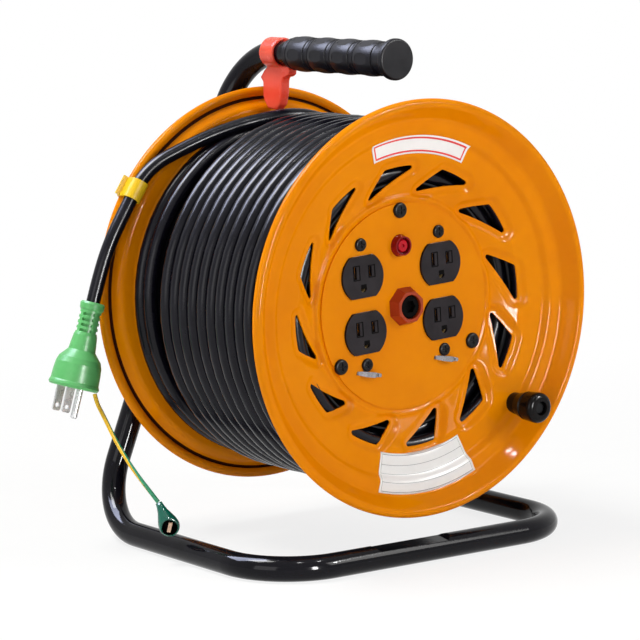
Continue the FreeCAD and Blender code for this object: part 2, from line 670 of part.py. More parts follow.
def make_core():
    """The core tube between the flanges and the bush where the cable passes its wall."""
    outer = CORE_TUBE_R
    inner = CORE_TUBE_R - CORE_TUBE_WALL
    ends = [(outer, dish_back_y(outer)), (inner, dish_back_y(inner))]
    section = [(r, y) for r, y in ends] + [(r, DRUM_WIDTH - y) for r, y in reversed(ends)]
    hole = Part.makeCylinder(ENTRY_BUSH_R, outer, Vector(0.0, ENTRY_BUSH_Y, 0.0),
                             polar(1.0, ENTRY_BUSH_ANGLE))
    keep("drum_core_tube", turned(section).cut(hole), on_drum=True)

    barrel = Part.makeCylinder(ENTRY_BUSH_R, outer, Vector(0.0, ENTRY_BUSH_Y, 0.0),
                               polar(1.0, ENTRY_BUSH_ANGLE))
    collar = Part.makeCylinder(ENTRY_BUSH_R + 2.0, inner, Vector(0.0, ENTRY_BUSH_Y, 0.0),
                               polar(1.0, ENTRY_BUSH_ANGLE))
    bore = Part.makeCylinder(CABLE_R, outer + 1.0, Vector(0.0, ENTRY_BUSH_Y, 0.0),
                             polar(1.0, ENTRY_BUSH_ANGLE))
    inside = cylinder(inner, 0.0, DRUM_WIDTH)
    bush = barrel.common(cylinder(outer, 0.0, DRUM_WIDTH)).fuse(collar.common(inside))
    bush = bush.cut(cylinder(inner - 3.0, 0.0, DRUM_WIDTH)).cut(bore)
    keep("cable_entry_bush", bush, on_drum=True)


def make_rear_bush():
    """The plastic bush that carries the closed rear flange on the axle."""
    outside = DRUM_WIDTH - PANEL_Y
    bore_r = AXLE_R + AXLE_CLEARANCE
    keep("hub_bush_rear", turned([
        (bore_r, outside - REAR_BUSH_LENGTH), (REAR_BUSH_R, outside - REAR_BUSH_LENGTH),
        (REAR_BUSH_R, outside), (REAR_BUSH_FLANGE_R, outside),
        (REAR_BUSH_FLANGE_R, outside + REAR_BUSH_FLANGE), (bore_r, outside + REAR_BUSH_FLANGE),
    ]), on_drum=True)


# Outlet panel

def outlet_centres():
    """X and the two Z of each twin outlet."""
    columns = []
    for side in (-1.0, 1.0):
        x = OUTLETS_CENTRE_X + side * OUTLET_SPACING_X / 2.0
        columns.append((x, [OUTLETS_CENTRE_Z + up * OUTLET_SPACING_Z / 2.0 for up in (1.0, -1.0)]))
    return columns


def outlet_face(x, z, y0, y1, grow=0.0):
    """A round outlet face cut flat above and below."""
    radius = OUTLET_FACE_R + grow
    half = OUTLET_FACE_HEIGHT / 2.0 + grow
    flat = box(x - radius, x + radius, y0, y1, z - half, z + half)
    return cylinder(radius, y0, y1, x, z).common(flat)


def strap_screw_spots():
    """Where the small screws hold the outlet straps: above and below each pair."""
    spots = []
    for x, _ in outlet_centres():
        for up in (1.0, -1.0):
            spots.append((x, OUTLETS_CENTRE_Z + up * STRAP_SCREW_SPACING / 2.0))
    return spots


def slot_boxes(x, z, y0, y1, grow=0.0):
    """The two blade slots of an outlet face, seen from the front."""
    solids = []
    for side, height in ((-1.0, SLOT_LEFT_HEIGHT), (1.0, SLOT_RIGHT_HEIGHT)):
        cx = x + side * SLOT_SPACING / 2.0
        cz = z + SLOT_RISE
        half_w = SLOT_WIDTH / 2.0 + grow
        half_h = height / 2.0 + grow
        solids.append(box(cx - half_w, cx + half_w, y0, y1, cz - half_h, cz + half_h))
    return solids


def earth_hole(x, z, y0, y1, grow=0.0):
    """The earth hole below the slots: round below, flat above."""
    cz = z - EARTH_HOLE_DROP
    radius = EARTH_HOLE_R + grow
    hole = cylinder(radius, y0, y1, x, cz)
    return hole.cut(box(x - radius, x + radius, y0, y1, cz + radius * 0.75, cz + radius))


def make_outlets():
    """Two twin outlets: moulded bodies, steel straps, brass contacts and their screws."""
    plate_front = PANEL_Y - SHEET
    face_front = plate_front - OUTLET_FACE_PROUD
    back = PANEL_Y + STRAP_THICKNESS
    pocket_y = face_front + FACE_WALL
    contacts = []
    for name, (x, rows) in zip(("outlet_left", "outlet_right"), outlet_centres()):
        body = box(x - OUTLET_BODY_WIDTH / 2.0, x + OUTLET_BODY_WIDTH / 2.0, back,
                   back + OUTLET_BODY_DEPTH, OUTLETS_CENTRE_Z - OUTLET_BODY_HEIGHT / 2.0,
                   OUTLETS_CENTRE_Z + OUTLET_BODY_HEIGHT / 2.0)
        body = round_edges(body, 3.0, runs_along_y)
        for z in rows:
            body = body.fuse(outlet_face(x, z, face_front, back + 1.0))
        for z in rows:
            for slot in slot_boxes(x, z, face_front, pocket_y):
                body = body.cut(slot)
            for pocket in slot_boxes(x, z, pocket_y, pocket_y + CONTACT_POCKET_DEPTH, 1.2):
                body = body.cut(pocket)
            body = body.cut(earth_hole(x, z, face_front, pocket_y))
            body = body.cut(cylinder(EARTH_HOLE_R + 1.0, pocket_y,
                                     pocket_y + CONTACT_POCKET_DEPTH, x, z - EARTH_HOLE_DROP))
            contacts += outlet_contacts(x, z, pocket_y)
        keep(name, body, on_drum=True)
    keep("outlet_contacts", Part.makeCompound(contacts), on_drum=True)

    straps = []
    half = STRAP_SCREW_SPACING / 2.0 + 6.0
    for x, rows in outlet_centres():
        strap = box(x - STRAP_WIDTH / 2.0, x + STRAP_WIDTH / 2.0, PANEL_Y, back,
                    OUTLETS_CENTRE_Z - half, OUTLETS_CENTRE_Z + half)
        for z in rows:
            strap = strap.cut(outlet_face(x, z, PANEL_Y, back))
        straps.append(strap.common(cylinder(PANEL_OPENING_R - OUTLET_FACE_GAP, PANEL_Y, back)))
    for x, z in strap_screw_spots():
        straps = [strap.cut(cylinder(STRAP_SCREW_R, PANEL_Y, back, x, z)) for strap in straps]
    keep("outlet_straps", Part.makeCompound(straps), on_drum=True)

    screws = [pan_screw(STRAP_SCREW_HEAD_R, STRAP_SCREW_R, 1.9, plate_front, back + 3.0, x, z)
              for x, z in strap_screw_spots()]
    keep("outlet_screws", Part.makeCompound(screws), on_drum=True)


def outlet_contacts(x, z, y0):
    """Brass contacts behind one face: two folded clips and a tube for the earth pin."""
    solids = []
    y1 = y0 + CONTACT_POCKET_DEPTH
    for slot in slot_boxes(x, z, y0, y1, 1.2):
        low = slot.BoundBox
        clip = box(low.XMin, low.XMax, y0 + 0.5, y1, low.ZMin, low.ZMax)
        gap = box(low.XMin + 0.7, low.XMax - 0.7, y0 + 0.5, y1 - 0.8, low.ZMin, low.ZMax)
        solids.append(clip.cut(gap))
    solids.append(tube(EARTH_HOLE_R + 1.0, EARTH_TUBE_BORE_R, y0 + 0.5, y1, x,
                       z - EARTH_HOLE_DROP))
    return solids


def pan_screw(head_r, shank_r, head_height, seat_y, end_y, x, z):
    """A pan head screw whose head stands on seat_y, with a cross recess."""
    head = cylinder(head_r, seat_y - head_height, seat_y, x, z)
    head = round_edges(head, head_height * 0.7, lambda edge: edge.CenterOfMass.y
                       < seat_y - head_height + 0.01)
    shank = cylinder(shank_r, seat_y, end_y, x, z)
    arm = head_r * 0.55
    slot_y = seat_y - head_height
    cross = box(x - arm, x + arm, slot_y, slot_y + 0.9, z - 0.5, z + 0.5)
    cross = cross.fuse(box(x - 0.5, x + 0.5, slot_y, slot_y + 0.9, z - arm, z + arm))
    return head.fuse(shank).cut(cross)


def make_outlet_plate():
    """The round outlet plate with its cut-outs, and the three screws that hold it."""
    front = PANEL_Y - SHEET
    plate = cylinder(PLATE_R, front, PANEL_Y)
    for x, rows in outlet_centres():
        for z in rows:
            plate = plate.cut(outlet_face(x, z, front, PANEL_Y, OUTLET_FACE_GAP))
    for x, z in strap_screw_spots():
        plate = plate.cut(cylinder(STRAP_SCREW_R, front, PANEL_Y, x, z))
    plate = plate.cut(cylinder(LAMP_BARREL_R, front, PANEL_Y, LAMP_X, LAMP_Z))
    plate = plate.cut(cylinder(HUB_BARREL_R, front, PANEL_Y))
    screws = []
    for angle in PLATE_SCREW_ANGLES:
        spot = polar(PLATE_SCREW_RING_R, angle)
        plate = plate.cut(cylinder(PLATE_SCREW_R, front, PANEL_Y, spot.x, spot.z))
        screws.append(pan_screw(PLATE_SCREW_HEAD_R, PLATE_SCREW_R, 2.3, front,
                                PANEL_Y + SHEET + 4.0, spot.x, spot.z))
    for x, z in saddle_rivet_spots():
        plate = plate.cut(cylinder(SADDLE_RIVET_R * 0.6, front, PANEL_Y, x, z))
    keep("outlet_plate", plate, on_drum=True)
    keep("plate_screws", Part.makeCompound(screws), on_drum=True)


def octagon(radius, y):
    """An eight-sided outline about the axle, flat side up."""
    return Part.makePolygon([polar(radius, 22.5 + 45.0 * corner, y) for corner in range(9)])


def make_front_hub():
    """The eight-sided tapered boss that bears on the axle, and the ring behind it."""
    seat = PANEL_Y - SHEET
    tip = seat - HUB_PROUD
    rear = PANEL_Y + HUB_BARREL_LENGTH
    flat_to_corner = 1.0 / math.cos(math.radians(22.5))
    boss = Part.makeLoft([octagon(HUB_BASE_R * flat_to_corner, seat),
                          octagon(HUB_TIP_R * flat_to_corner, tip)], True, True)
    boss = boss.fuse(cylinder(HUB_BARREL_R, seat, rear))
    boss = boss.cut(cylinder(HUB_RECESS_R, tip, tip + HUB_RECESS_DEPTH))
    boss = boss.cut(cylinder(AXLE_R + AXLE_CLEARANCE, tip, rear))
    keep("hub_bush_front", boss, on_drum=True)
    ring = tube(HUB_RING_R, HUB_BARREL_R, PANEL_Y, PANEL_Y + HUB_RING_THICKNESS)
    keep("hub_lock_ring", ring, on_drum=True)


def make_lamp():
    """The pilot lamp: a bezel through the plate, a lens standing in its well, and a nut."""
    seat = PANEL_Y - SHEET
    rear = PANEL_Y + 16.0
    front = seat - LAMP_PROUD
    bezel = turned([(LAMP_WELL_R, front), (LAMP_WELL_R + 1.0, front),
                    (LAMP_FLANGE_R - 0.6, seat - 1.6), (LAMP_FLANGE_R, seat),
                    (LAMP_BARREL_R, seat), (LAMP_BARREL_R, rear), (LAMP_BORE_R, rear),
                    (LAMP_BORE_R, seat), (LAMP_WELL_R, seat)], LAMP_X, LAMP_Z)
    keep("lamp_bezel", bezel, on_drum=True)
    top = front + LAMP_LENS_SINK
    lens = turned([(0.0, top + 1.4), (LAMP_DIMPLE_R - 0.3, top + 1.4), (LAMP_DIMPLE_R, top + 0.3),
                   (LAMP_DIMPLE_R + 0.3, top), (LAMP_LENS_R - 0.7, top), (LAMP_LENS_R, top + 0.7),
                   (LAMP_LENS_R, seat), (LAMP_BORE_R, seat), (LAMP_BORE_R, rear), (0.0, rear)],
                  LAMP_X, LAMP_Z)
    keep("lamp_lens", lens, on_drum=True)
    nut = tube(LAMP_BARREL_R + 2.6, LAMP_BARREL_R, PANEL_Y, PANEL_Y + 3.0, LAMP_X, LAMP_Z)
    keep("lamp_nut", nut, on_drum=True)


def saddle_centres():
    """The two earth saddles, each just under a lower strap screw."""
    return [(x + SADDLE_OFFSET_X, z + SADDLE_OFFSET_Z)
            for x, z in strap_screw_spots() if z < OUTLETS_CENTRE_Z]


def saddle_rivet_spots():
    """Both rivets of each saddle."""
    tilt = math.radians(SADDLE_TILT)
    reach = SADDLE_RIVET_SPACING / 2.0
    return [(x + side * reach * math.cos(tilt), z - side * reach * math.sin(tilt))
            for x, z in saddle_centres() for side in (-1.0, 1.0)]


def make_saddles():
    """Earth saddles: bent strips with a raised middle, riveted to the plate."""
    seat = PANEL_Y - SHEET
    half = SADDLE_LENGTH / 2.0
    foot = half - SADDLE_FOOT
    top = foot - SADDLE_RISE
    saddles = []
    for x, z in saddle_centres():
        under = [(-half, 0.0), (-foot, 0.0), (-top, SADDLE_RISE), (top, SADDLE_RISE),
                 (foot, 0.0), (half, 0.0)]
        over = [(half, SADDLE_THICKNESS), (foot + 0.3, SADDLE_THICKNESS),
                (top + 0.3, SADDLE_RISE + SADDLE_THICKNESS),
                (-top - 0.3, SADDLE_RISE + SADDLE_THICKNESS), (-foot - 0.3, SADDLE_THICKNESS),
                (-half, SADDLE_THICKNESS)]
        outline = [Vector(x + dx, seat - rise, z - SADDLE_HEIGHT / 2.0) for dx, rise in under + over]
        strip = polygon_face(outline).extrude(Vector(0.0, 0.0, SADDLE_HEIGHT))
        plan = [(-half, -SADDLE_END_HEIGHT / 2.0), (-top, -SADDLE_HEIGHT / 2.0),
                (top, -SADDLE_HEIGHT / 2.0), (half, -SADDLE_END_HEIGHT / 2.0),
                (half, SADDLE_END_HEIGHT / 2.0), (top, SADDLE_HEIGHT / 2.0),
                (-top, SADDLE_HEIGHT / 2.0), (-half, SADDLE_END_HEIGHT / 2.0)]
        tapered = polygon_face([Vector(x + dx, seat - SADDLE_HEIGHT * 2.0, z + dz)
                                for dx, dz in plan])
        strip = strip.common(tapered.extrude(Vector(0.0, SADDLE_HEIGHT * 3.0, 0.0)))
        saddles.append(strip.rotated(Vector(x, 0.0, z), AXIS_Y, SADDLE_TILT))
    for x, z in saddle_rivet_spots():
        hole = cylinder(SADDLE_RIVET_R * 0.6, seat - 2.0, seat, x, z)
        saddles = [strip.cut(hole) for strip in saddles]
    keep("earth_saddles", Part.makeCompound(saddles), on_drum=True)
    rivets = []
    head_y = seat - SADDLE_THICKNESS
    for x, z in saddle_rivet_spots():
        head = cylinder(SADDLE_RIVET_R, head_y - 0.8, head_y, x, z)
        rivets.append(head.fuse(cylinder(SADDLE_RIVET_R * 0.6, head_y, PANEL_Y + 0.8, x, z)))
    keep("saddle_rivets", Part.makeCompound(rivets), on_drum=True)


def make_inner_parts():
    """What the drum holds inside: the thermal cut-out and the terminal block."""
    z = SENSOR_CENTRE_Z
    sensor = box(-SENSOR_WIDTH / 2.0, SENSOR_WIDTH / 2.0, PANEL_Y, PANEL_Y + SENSOR_DEPTH,
                 z - SENSOR_HEIGHT / 2.0, z + SENSOR_HEIGHT / 2.0)
    sensor = round_edges(sensor, 1.5, runs_along_y)
    for side in (-1.0, 1.0):
        x = side * SENSOR_WIDTH / 4.0
        sensor = sensor.fuse(box(x - 0.4, x + 0.4, PANEL_Y + SENSOR_DEPTH,
                                 PANEL_Y + SENSOR_DEPTH + 8.0, z - 3.15, z + 3.15))
    keep("thermal_cutout", sensor, on_drum=True)

    rear_inside = DRUM_WIDTH - PANEL_Y - SHEET
    z = TERMINAL_CENTRE_Z
    block = box(-TERMINAL_WIDTH / 2.0, TERMINAL_WIDTH / 2.0, rear_inside - TERMINAL_DEPTH,
                rear_inside, z - TERMINAL_HEIGHT / 2.0, z + TERMINAL_HEIGHT / 2.0)
    ways = 3
    pitch = TERMINAL_WIDTH / ways
    for way in range(ways):
        x = -TERMINAL_WIDTH / 2.0 + pitch * (way + 0.5)
        block = block.cut(cylinder(3.0, rear_inside - TERMINAL_DEPTH,
                                   rear_inside - TERMINAL_DEPTH / 2.0, x, z))
    keep("terminal_block", block, on_drum=True)


# Crank

def make_crank():
    """The riveted pin, the collar that seats on the dish, and the knob that spins."""
    spot = polar(CRANK_RING_R, CRANK_ANGLE)
    bore_r = CRANK_PIN_R + AXLE_CLEARANCE
    collar = cylinder(CRANK_COLLAR_R, CRANK_COLLAR_FRONT_Y, PANEL_Y, spot.x, spot.z)
    behind = dish_back_block()
    collar = collar.cut(behind).cut(cylinder(CRANK_PIN_R, 0.0, PANEL_Y, spot.x, spot.z))
    keep("crank_collar", largest(collar), on_drum=True)

    rivet_front = dish_back_y(CRANK_RING_R - CRANK_RIVET_R)
    head_rear = KNOB_TIP_Y + KNOB_RECESS_DEPTH - RUNNING_GAP
    pin = cylinder(CRANK_PIN_R, head_rear - 0.01, rivet_front + CRANK_RIVET_THICKNESS,
                   spot.x, spot.z)
    head = cylinder(PIN_HEAD_R, head_rear - PIN_HEAD_THICKNESS, head_rear, spot.x, spot.z)
    head = round_edges(head, 1.4, lambda edge: edge.CenterOfMass.y
                       < head_rear - PIN_HEAD_THICKNESS + 0.01)
    rivet = cylinder(CRANK_RIVET_R, 0.0, rivet_front + CRANK_RIVET_THICKNESS, spot.x, spot.z)
    rivet = largest(rivet.cut(dish_front_block()))
    keep("crank_pin", pin.fuse(head).fuse(rivet), on_drum=True)

    knob_rear = CRANK_COLLAR_FRONT_Y - RUNNING_GAP
    recess_y = KNOB_TIP_Y + KNOB_RECESS_DEPTH
    knob = turned([
        (bore_r, knob_rear), (KNOB_REAR_R, knob_rear), (KNOB_FLARE_R, KNOB_WAIST_Y + 1.0),
        (KNOB_WAIST_R, KNOB_WAIST_Y), (KNOB_BACK_R, KNOB_WAIST_Y - 1.0),
        (KNOB_FRONT_R, KNOB_TIP_Y + KNOB_EDGE_R), (KNOB_FRONT_R, KNOB_TIP_Y),
        (KNOB_RECESS_R, KNOB_TIP_Y), (KNOB_RECESS_R, recess_y), (bore_r, recess_y),
    ], spot.x, spot.z)
    knob = round_edges(knob, KNOB_EDGE_R - 0.2, lambda edge: edge.Curve.TypeId
                       == "Part::GeomCircle" and abs(edge.Curve.Radius - KNOB_FRONT_R) < 0.01
                       and edge.CenterOfMass.y < KNOB_TIP_Y + 0.01)
    keep("crank_knob", knob, on_drum=True)


def dish_back_block():
    """Everything behind the dish's front surface near the crank."""
    front = flange_path()[1]
    radii = [DISH_BEND_R] * (len(front) - 2)
    edges = route_edges([Vector(r, y, 0.0) for r, y in front], radii)
    far = PANEL_Y + 20.0
    corners = [Vector(front[-1][0], front[-1][1], 0.0), Vector(front[-1][0], far, 0.0),
               Vector(front[0][0], far, 0.0), Vector(front[0][0], front[0][1], 0.0)]
    edges += [Part.makeLine(a, b) for a, b in zip(corners, corners[1:])]
    return Part.Face(Part.Wire(edges)).revolve(Vector(0.0, 0.0, 0.0), AXIS_Y, 360.0)


def dish_front_block():
    """Everything in front of the dish's winding side near the crank."""
    back = offset_points(flange_path()[1], SHEET)
    radii = sheet_radii(flange_path()[1], SHEET)
    edges = route_edges([Vector(r, y, 0.0) for r, y in back], radii)
    near = -20.0
    corners = [Vector(back[-1][0], back[-1][1], 0.0), Vector(back[-1][0], near, 0.0),
               Vector(back[0][0], near, 0.0), Vector(back[0][0], back[0][1], 0.0)]
    edges += [Part.makeLine(a, b) for a, b in zip(corners, corners[1:])]
    return Part.Face(Part.Wire(edges)).revolve(Vector(0.0, 0.0, 0.0), AXIS_Y, 360.0)


# Wound cable

def biarc(start, start_way, end, end_way):
    """Two arcs that join two points and follow the way of the path at both."""
    chord = end - start
    ways = start_way + end_way
    spread = 2.0 * (1.0 - start_way.dot(end_way))
    across = chord.dot(ways)
    reach = (math.sqrt(across ** 2 + spread * chord.dot(chord)) - across) / spread
    first_corner = start + start_way * reach
    second_corner = end - end_way * reach
    joint = (first_corner + second_corner) * 0.5
    return [corner_arc(start, first_corner, joint), corner_arc(joint, second_corner, end)]


def corner_arc(start, corner, end):
    """The arc that touches both equal sides of a corner."""
    half_chord = start.distanceToPoint(end) / 2.0
    side = start.distanceToPoint(corner)
    middle = (start + end) * 0.5
    height = math.sqrt(side ** 2 - half_chord ** 2)
    radius = side * half_chord / height
    rise = radius * (1.0 - half_chord / side)
    return Part.Arc(start, middle + (corner - middle).normalize() * rise, end).toShape()


def wound_edges(radius, places):
    """A winding through (angle, y, slope) places about the axle, with straight ends."""
    points = []
    ways = []
    for angle, y, slope in places:
        turn = math.radians(angle)
        points.append(polar(radius, angle, y))
        ways.append(Vector(-math.sin(turn), slope, math.cos(turn)).normalize())
    lead = 2.0 * CABLE_R
    edges = [Part.makeLine(points[0] - ways[0] * lead, points[0])]
    for a, b, way_a, way_b in zip(points, points[1:], ways, ways[1:]):
        edges += biarc(a, way_a, b, way_b)
    edges.append(Part.makeLine(points[-1], points[-1] + ways[-1] * lead))
    return edges


def least_gap(edges, radius):
    """The least gap between a tube and its own next turns, on points along its path."""
    points = []
    walked = []
    distance = 0.0
    step = 6.0
    for edge in edges:
        count = max(2, int(edge.Length / step))
        for number, point in enumerate(edge.discretize(count)[:-1]):
            points.append(point)
            walked.append(distance + edge.Length * number / (count - 1))
        distance += edge.Length
    least = math.inf
    for i, point in enumerate(points):
        for j in range(i + 1, len(points)):
            if walked[j] - walked[i] > 20.0 * radius:
                least = min(least, point.distanceToPoint(points[j]))
    return least - 2.0 * radius


def make_winding():
    """The wound cable: the outer layer, the two deep turns and the plain core under them."""
    slope = WINDING_PITCH / (2.0 * math.pi * OUTER_TURN_R)
    half_turns = int(round(OUTER_TURNS * 2.0))
    places = [(OUTER_START_ANGLE + 180.0 * number, OUTER_START_Y + WINDING_PITCH * number / 2.0,
               slope) for number in range(half_turns + 1)]
    outer = wound_edges(OUTER_TURN_R, places)
    keep("cable_winding", swept_round(outer, CABLE_R), on_drum=True)
    print("cable_winding least gap %.3f" % least_gap(outer, CABLE_R))

    step_slope = WINDING_PITCH / math.radians(DEEP_STEP_TURN) / DEEP_TURN_R
    places = []
    for lap in range(2):
        start = DEEP_START_ANGLE + lap * 360.0
        y = DEEP_FIRST_Y + lap * WINDING_PITCH
        half = DEEP_FLAT_TURN / 2.0
        places += [(start, y, 0.0), (start + half, y, 0.0), (start + 2.0 * half, y, 0.0)]
        if lap == 0:
            middle = start + DEEP_FLAT_TURN + (360.0 - DEEP_FLAT_TURN) / 2.0
            places.append((middle, y + WINDING_PITCH / 2.0, step_slope))
    deep = wound_edges(DEEP_TURN_R, places)
    keep("cable_deep_turns", swept_round(deep, CABLE_R), on_drum=True)
    print("cable_deep_turns least gap %.3f" % least_gap(deep, CABLE_R))

    gap = WINDING_SIDES_GAP
    outer_floor = OUTER_TURN_R - CABLE_R - gap
    deep_floor = DEEP_TURN_R - CABLE_R - gap
    bore_r = CORE_TUBE_R + gap
    rear_y = DRUM_WIDTH - CORE_FRONT_Y
    cone = dish_back_y(bore_r) + 1.0
    keep("cable_core", turned([
        (bore_r, cone), (CORE_SHOULDER_R, CORE_FRONT_Y), (outer_floor, CORE_FRONT_Y),
        (outer_floor, GROOVE_FRONT_Y), (GROOVE_FLOOR_R, GROOVE_FRONT_Y),
        (GROOVE_FLOOR_R, GROOVE_REAR_Y), (deep_floor, GROOVE_REAR_Y), (deep_floor, rear_y),
        (CORE_SHOULDER_R, rear_y), (bore_r, DRUM_WIDTH - cone),
    ]), on_drum=True)


# Free cord, its clip, plug and earth lead

def ring_sector(centre_r, centre_y, inner, outer, start, end):
    """Part of a ring in the plane of radius and Y, as a face."""
    def spot(radius, angle):
        turn = math.radians(angle)
        return Vector(centre_r + radius * math.cos(turn), centre_y + radius * math.sin(turn), 0.0)
    middle = (start + end) / 2.0
    return Part.Face(Part.Wire([
        Part.Arc(spot(inner, start), spot(inner, middle), spot(inner, end)).toShape(),
        Part.makeLine(spot(inner, end), spot(outer, end)),
        Part.Arc(spot(outer, end), spot(outer, middle), spot(outer, start)).toShape(),
        Part.makeLine(spot(outer, start), spot(inner, start)),
    ]))


def make_clip():
    """The clip that holds the cord to the rear rim, with a hook round the rim bead."""
    cord_y = CORD_ROUTE[10][1]
    before = Vector(*CORD_ROUTE[10])
    after = Vector(*CORD_ROUTE[11])
    way = (after - before).normalize()
    centre = before - way * before.dot(way)
    cord_r = math.hypot(centre.x, centre.z)
    wall = CLIP_WALL
    hook_r = RIM_BEAD_R + CLIP_RIM_GAP
    grip_r = CABLE_R + CLIP_CORD_GAP
    band = ring_sector(cord_r, cord_y, grip_r, grip_r + wall, -205.0, 0.0)
    hook = ring_sector(RIM_BEAD_CENTRE_R, DRUM_WIDTH, hook_r, hook_r + wall, -25.0, 115.0)
    band_side = cord_r + grip_r
    hook_side = RIM_BEAD_CENTRE_R + hook_r * math.cos(math.radians(25.0))
    hook_front = DRUM_WIDTH - hook_r * math.sin(math.radians(25.0))
    web = polygon_face([Vector(band_side, cord_y, 0.0), Vector(band_side + wall, cord_y, 0.0),
                        Vector(hook_side + wall, hook_front, 0.0),
                        Vector(hook_side, hook_front, 0.0)])
    tab_r = RIM_BEAD_CENTRE_R + hook_r + wall
    tab = polygon_face([Vector(tab_r - 0.6, DRUM_WIDTH - 1.5, 0.0),
                        Vector(tab_r + 3.0, DRUM_WIDTH - 0.7, 0.0),
                        Vector(tab_r + 3.0, DRUM_WIDTH + 0.5, 0.0),
                        Vector(tab_r - 0.6, DRUM_WIDTH + 0.9, 0.0)])
    push = Vector(0.0, 0.0, CLIP_LENGTH)
    faces = (band, web, hook, tab)
    solid = faces[0].extrude(push)
    for face in faces[1:]:
        solid = solid.fuse(face.extrude(push))
    solid = solid.translated(Vector(0.0, 0.0, -CLIP_LENGTH / 2.0)).removeSplitter()
    keep("cord_clip", solid.rotated(Vector(0.0, 0.0, 0.0), AXIS_Y, -CLIP_ANGLE))


def place_plug(shape):
    """Move a piece drawn with the cord end at the origin, blades down, to the cord's end."""
    shape = shape.rotated(Vector(0.0, 0.0, 0.0), AXIS_Y, PLUG_TILT)
    return shape.translated(Vector(*CORD_ROUTE[-1]))


def make_plug():
    """The moulded plug with its slotted sleeve, two blades and the longer earth pin."""
    profile = [
        (0.0, 0.0), (PLUG_COLLAR_R - 1.0, 0.0), (PLUG_COLLAR_R, 1.4), (PLUG_COLLAR_R - 0.4, 4.8),
        (7.5, 6.2), (7.6, 21.5), (8.4, 24.0), (9.3, 31.0), (9.7, 34.5), (11.8, 37.0),
        (14.9, 40.5), (16.3, 44.5), (16.9, 50.0), (17.2, 57.0), (PLUG_LIP_R - 0.4, 58.0),
        (PLUG_LIP_R, 59.6), (PLUG_LIP_R - 0.8, PLUG_LENGTH - 0.4),
        (PLUG_LIP_R - 2.4, PLUG_LENGTH), (0.0, PLUG_LENGTH),
    ]
    face = polygon_face([Vector(r, 0.0, -s) for r, s in profile])
    body = face.revolve(Vector(0.0, 0.0, 0.0), Vector(0.0, 0.0, 1.0), 360.0)
    for ring in range(PLUG_SLOTS):
        top = -7.9 - ring * PLUG_SLOT_PITCH
        slot = Part.makeCylinder(12.0, PLUG_SLOT_WIDTH, Vector(0.0, 0.0, top - PLUG_SLOT_WIDTH))
        slot = slot.cut(Part.makeCylinder(7.5 - PLUG_SLOT_DEPTH, PLUG_SLOT_WIDTH,
                                          Vector(0.0, 0.0, top - PLUG_SLOT_WIDTH)))
        for rib in range(4):
            web = box(0.0, 14.0, -1.5, 1.5, top - PLUG_SLOT_WIDTH, top)
            slot = slot.cut(web.rotated(Vector(0.0, 0.0, 0.0), Vector(0.0, 0.0, 1.0),
                                        5.0 + 90.0 * rib))
        body = body.cut(slot)
    keep("plug_body", place_plug(body))

    blades = []
    end = -PLUG_LENGTH
    for side in (-1.0, 1.0):
        y = side * BLADE_SPACING / 2.0
        blade = box(-BLADE_WIDTH / 2.0, BLADE_WIDTH / 2.0, y - BLADE_THICKNESS / 2.0,
                    y + BLADE_THICKNESS / 2.0, end - BLADE_LENGTH, end)
        blade = round_edges(blade, 1.6, lambda edge: abs(edge.CenterOfMass.x)
                            > BLADE_WIDTH / 2.0 - 0.01
                            and edge.CenterOfMass.z < end - BLADE_LENGTH + 0.01)
        hole = cylinder(BLADE_HOLE_R, y - 2.0, y + 2.0, 0.0, end - BLADE_LENGTH + 4.0)
        blades.append(blade.cut(hole).translated(Vector(-EARTH_PIN_OFFSET / 2.0, 0.0, 0.0)))
    keep("plug_blades", place_plug(Part.makeCompound(blades)))
    pin = Part.makeCylinder(EARTH_PIN_R, EARTH_PIN_LENGTH,
                            Vector(EARTH_PIN_OFFSET / 2.0, 0.0, end), Vector(0.0, 0.0, -1.0))
    pin = round_edges(pin, 1.6, lambda edge: edge.CenterOfMass.z < end - EARTH_PIN_LENGTH + 0.01)
    keep("plug_earth_pin", place_plug(pin))


def make_earth_clip():
    """The insulated spring clip on the earth lead: a tapered boot and two jaws."""
    tail = Vector(*BOOT_TAIL)
    mouth = Vector(*BOOT_MOUTH)
    way = mouth - tail
    length = way.Length
    profile = [(0.0, 0.0), (BOOT_TAIL_R, 0.0), (BOOT_TAIL_R + 1.0, 3.0), (4.6, length * 0.3),
               (BOOT_BODY_R, length * 0.62), (BOOT_BODY_R, length * 0.8), (BOOT_MOUTH_R, length),
               (BOOT_MOUTH_R - 1.2, length), (BOOT_MOUTH_R - 1.2, length * 0.7),
               (0.0, length * 0.7)]
    face = polygon_face([Vector(r, 0.0, s) for r, s in profile])
    boot = face.revolve(Vector(0.0, 0.0, 0.0), Vector(0.0, 0.0, 1.0), 360.0)
    turn = Rotation(Vector(0.0, 0.0, 1.0), way)
    placement = FreeCAD.Placement(tail, turn)
    keep("earth_clip_boot", boot.transformGeometry(placement.toMatrix()))
    jaws = []
    inner = BOOT_MOUTH_R - 1.5
    for side in (-1.0, 1.0):
        jaw = box(-2.4, 2.4, min(0.25 * side, 1.15 * side), max(0.25 * side, 1.15 * side),
                  length * 0.7, length + 3.0)
        jaws.append(jaw.common(Part.makeCylinder(inner, length + 4.0)))
    jaw_pair = Part.makeCompound(jaws)
    keep("earth_clip_jaws", jaw_pair.transformGeometry(placement.toMatrix()))


def make_free_cord():
    """The cord from the winding to the plug, and the thin earth lead beside the plug."""
    keep("power_cord", cord("power_cord", CORD_ROUTE, CABLE_R))
    keep("earth_lead", cord("earth_lead", LEAD_ROUTE, LEAD_R))


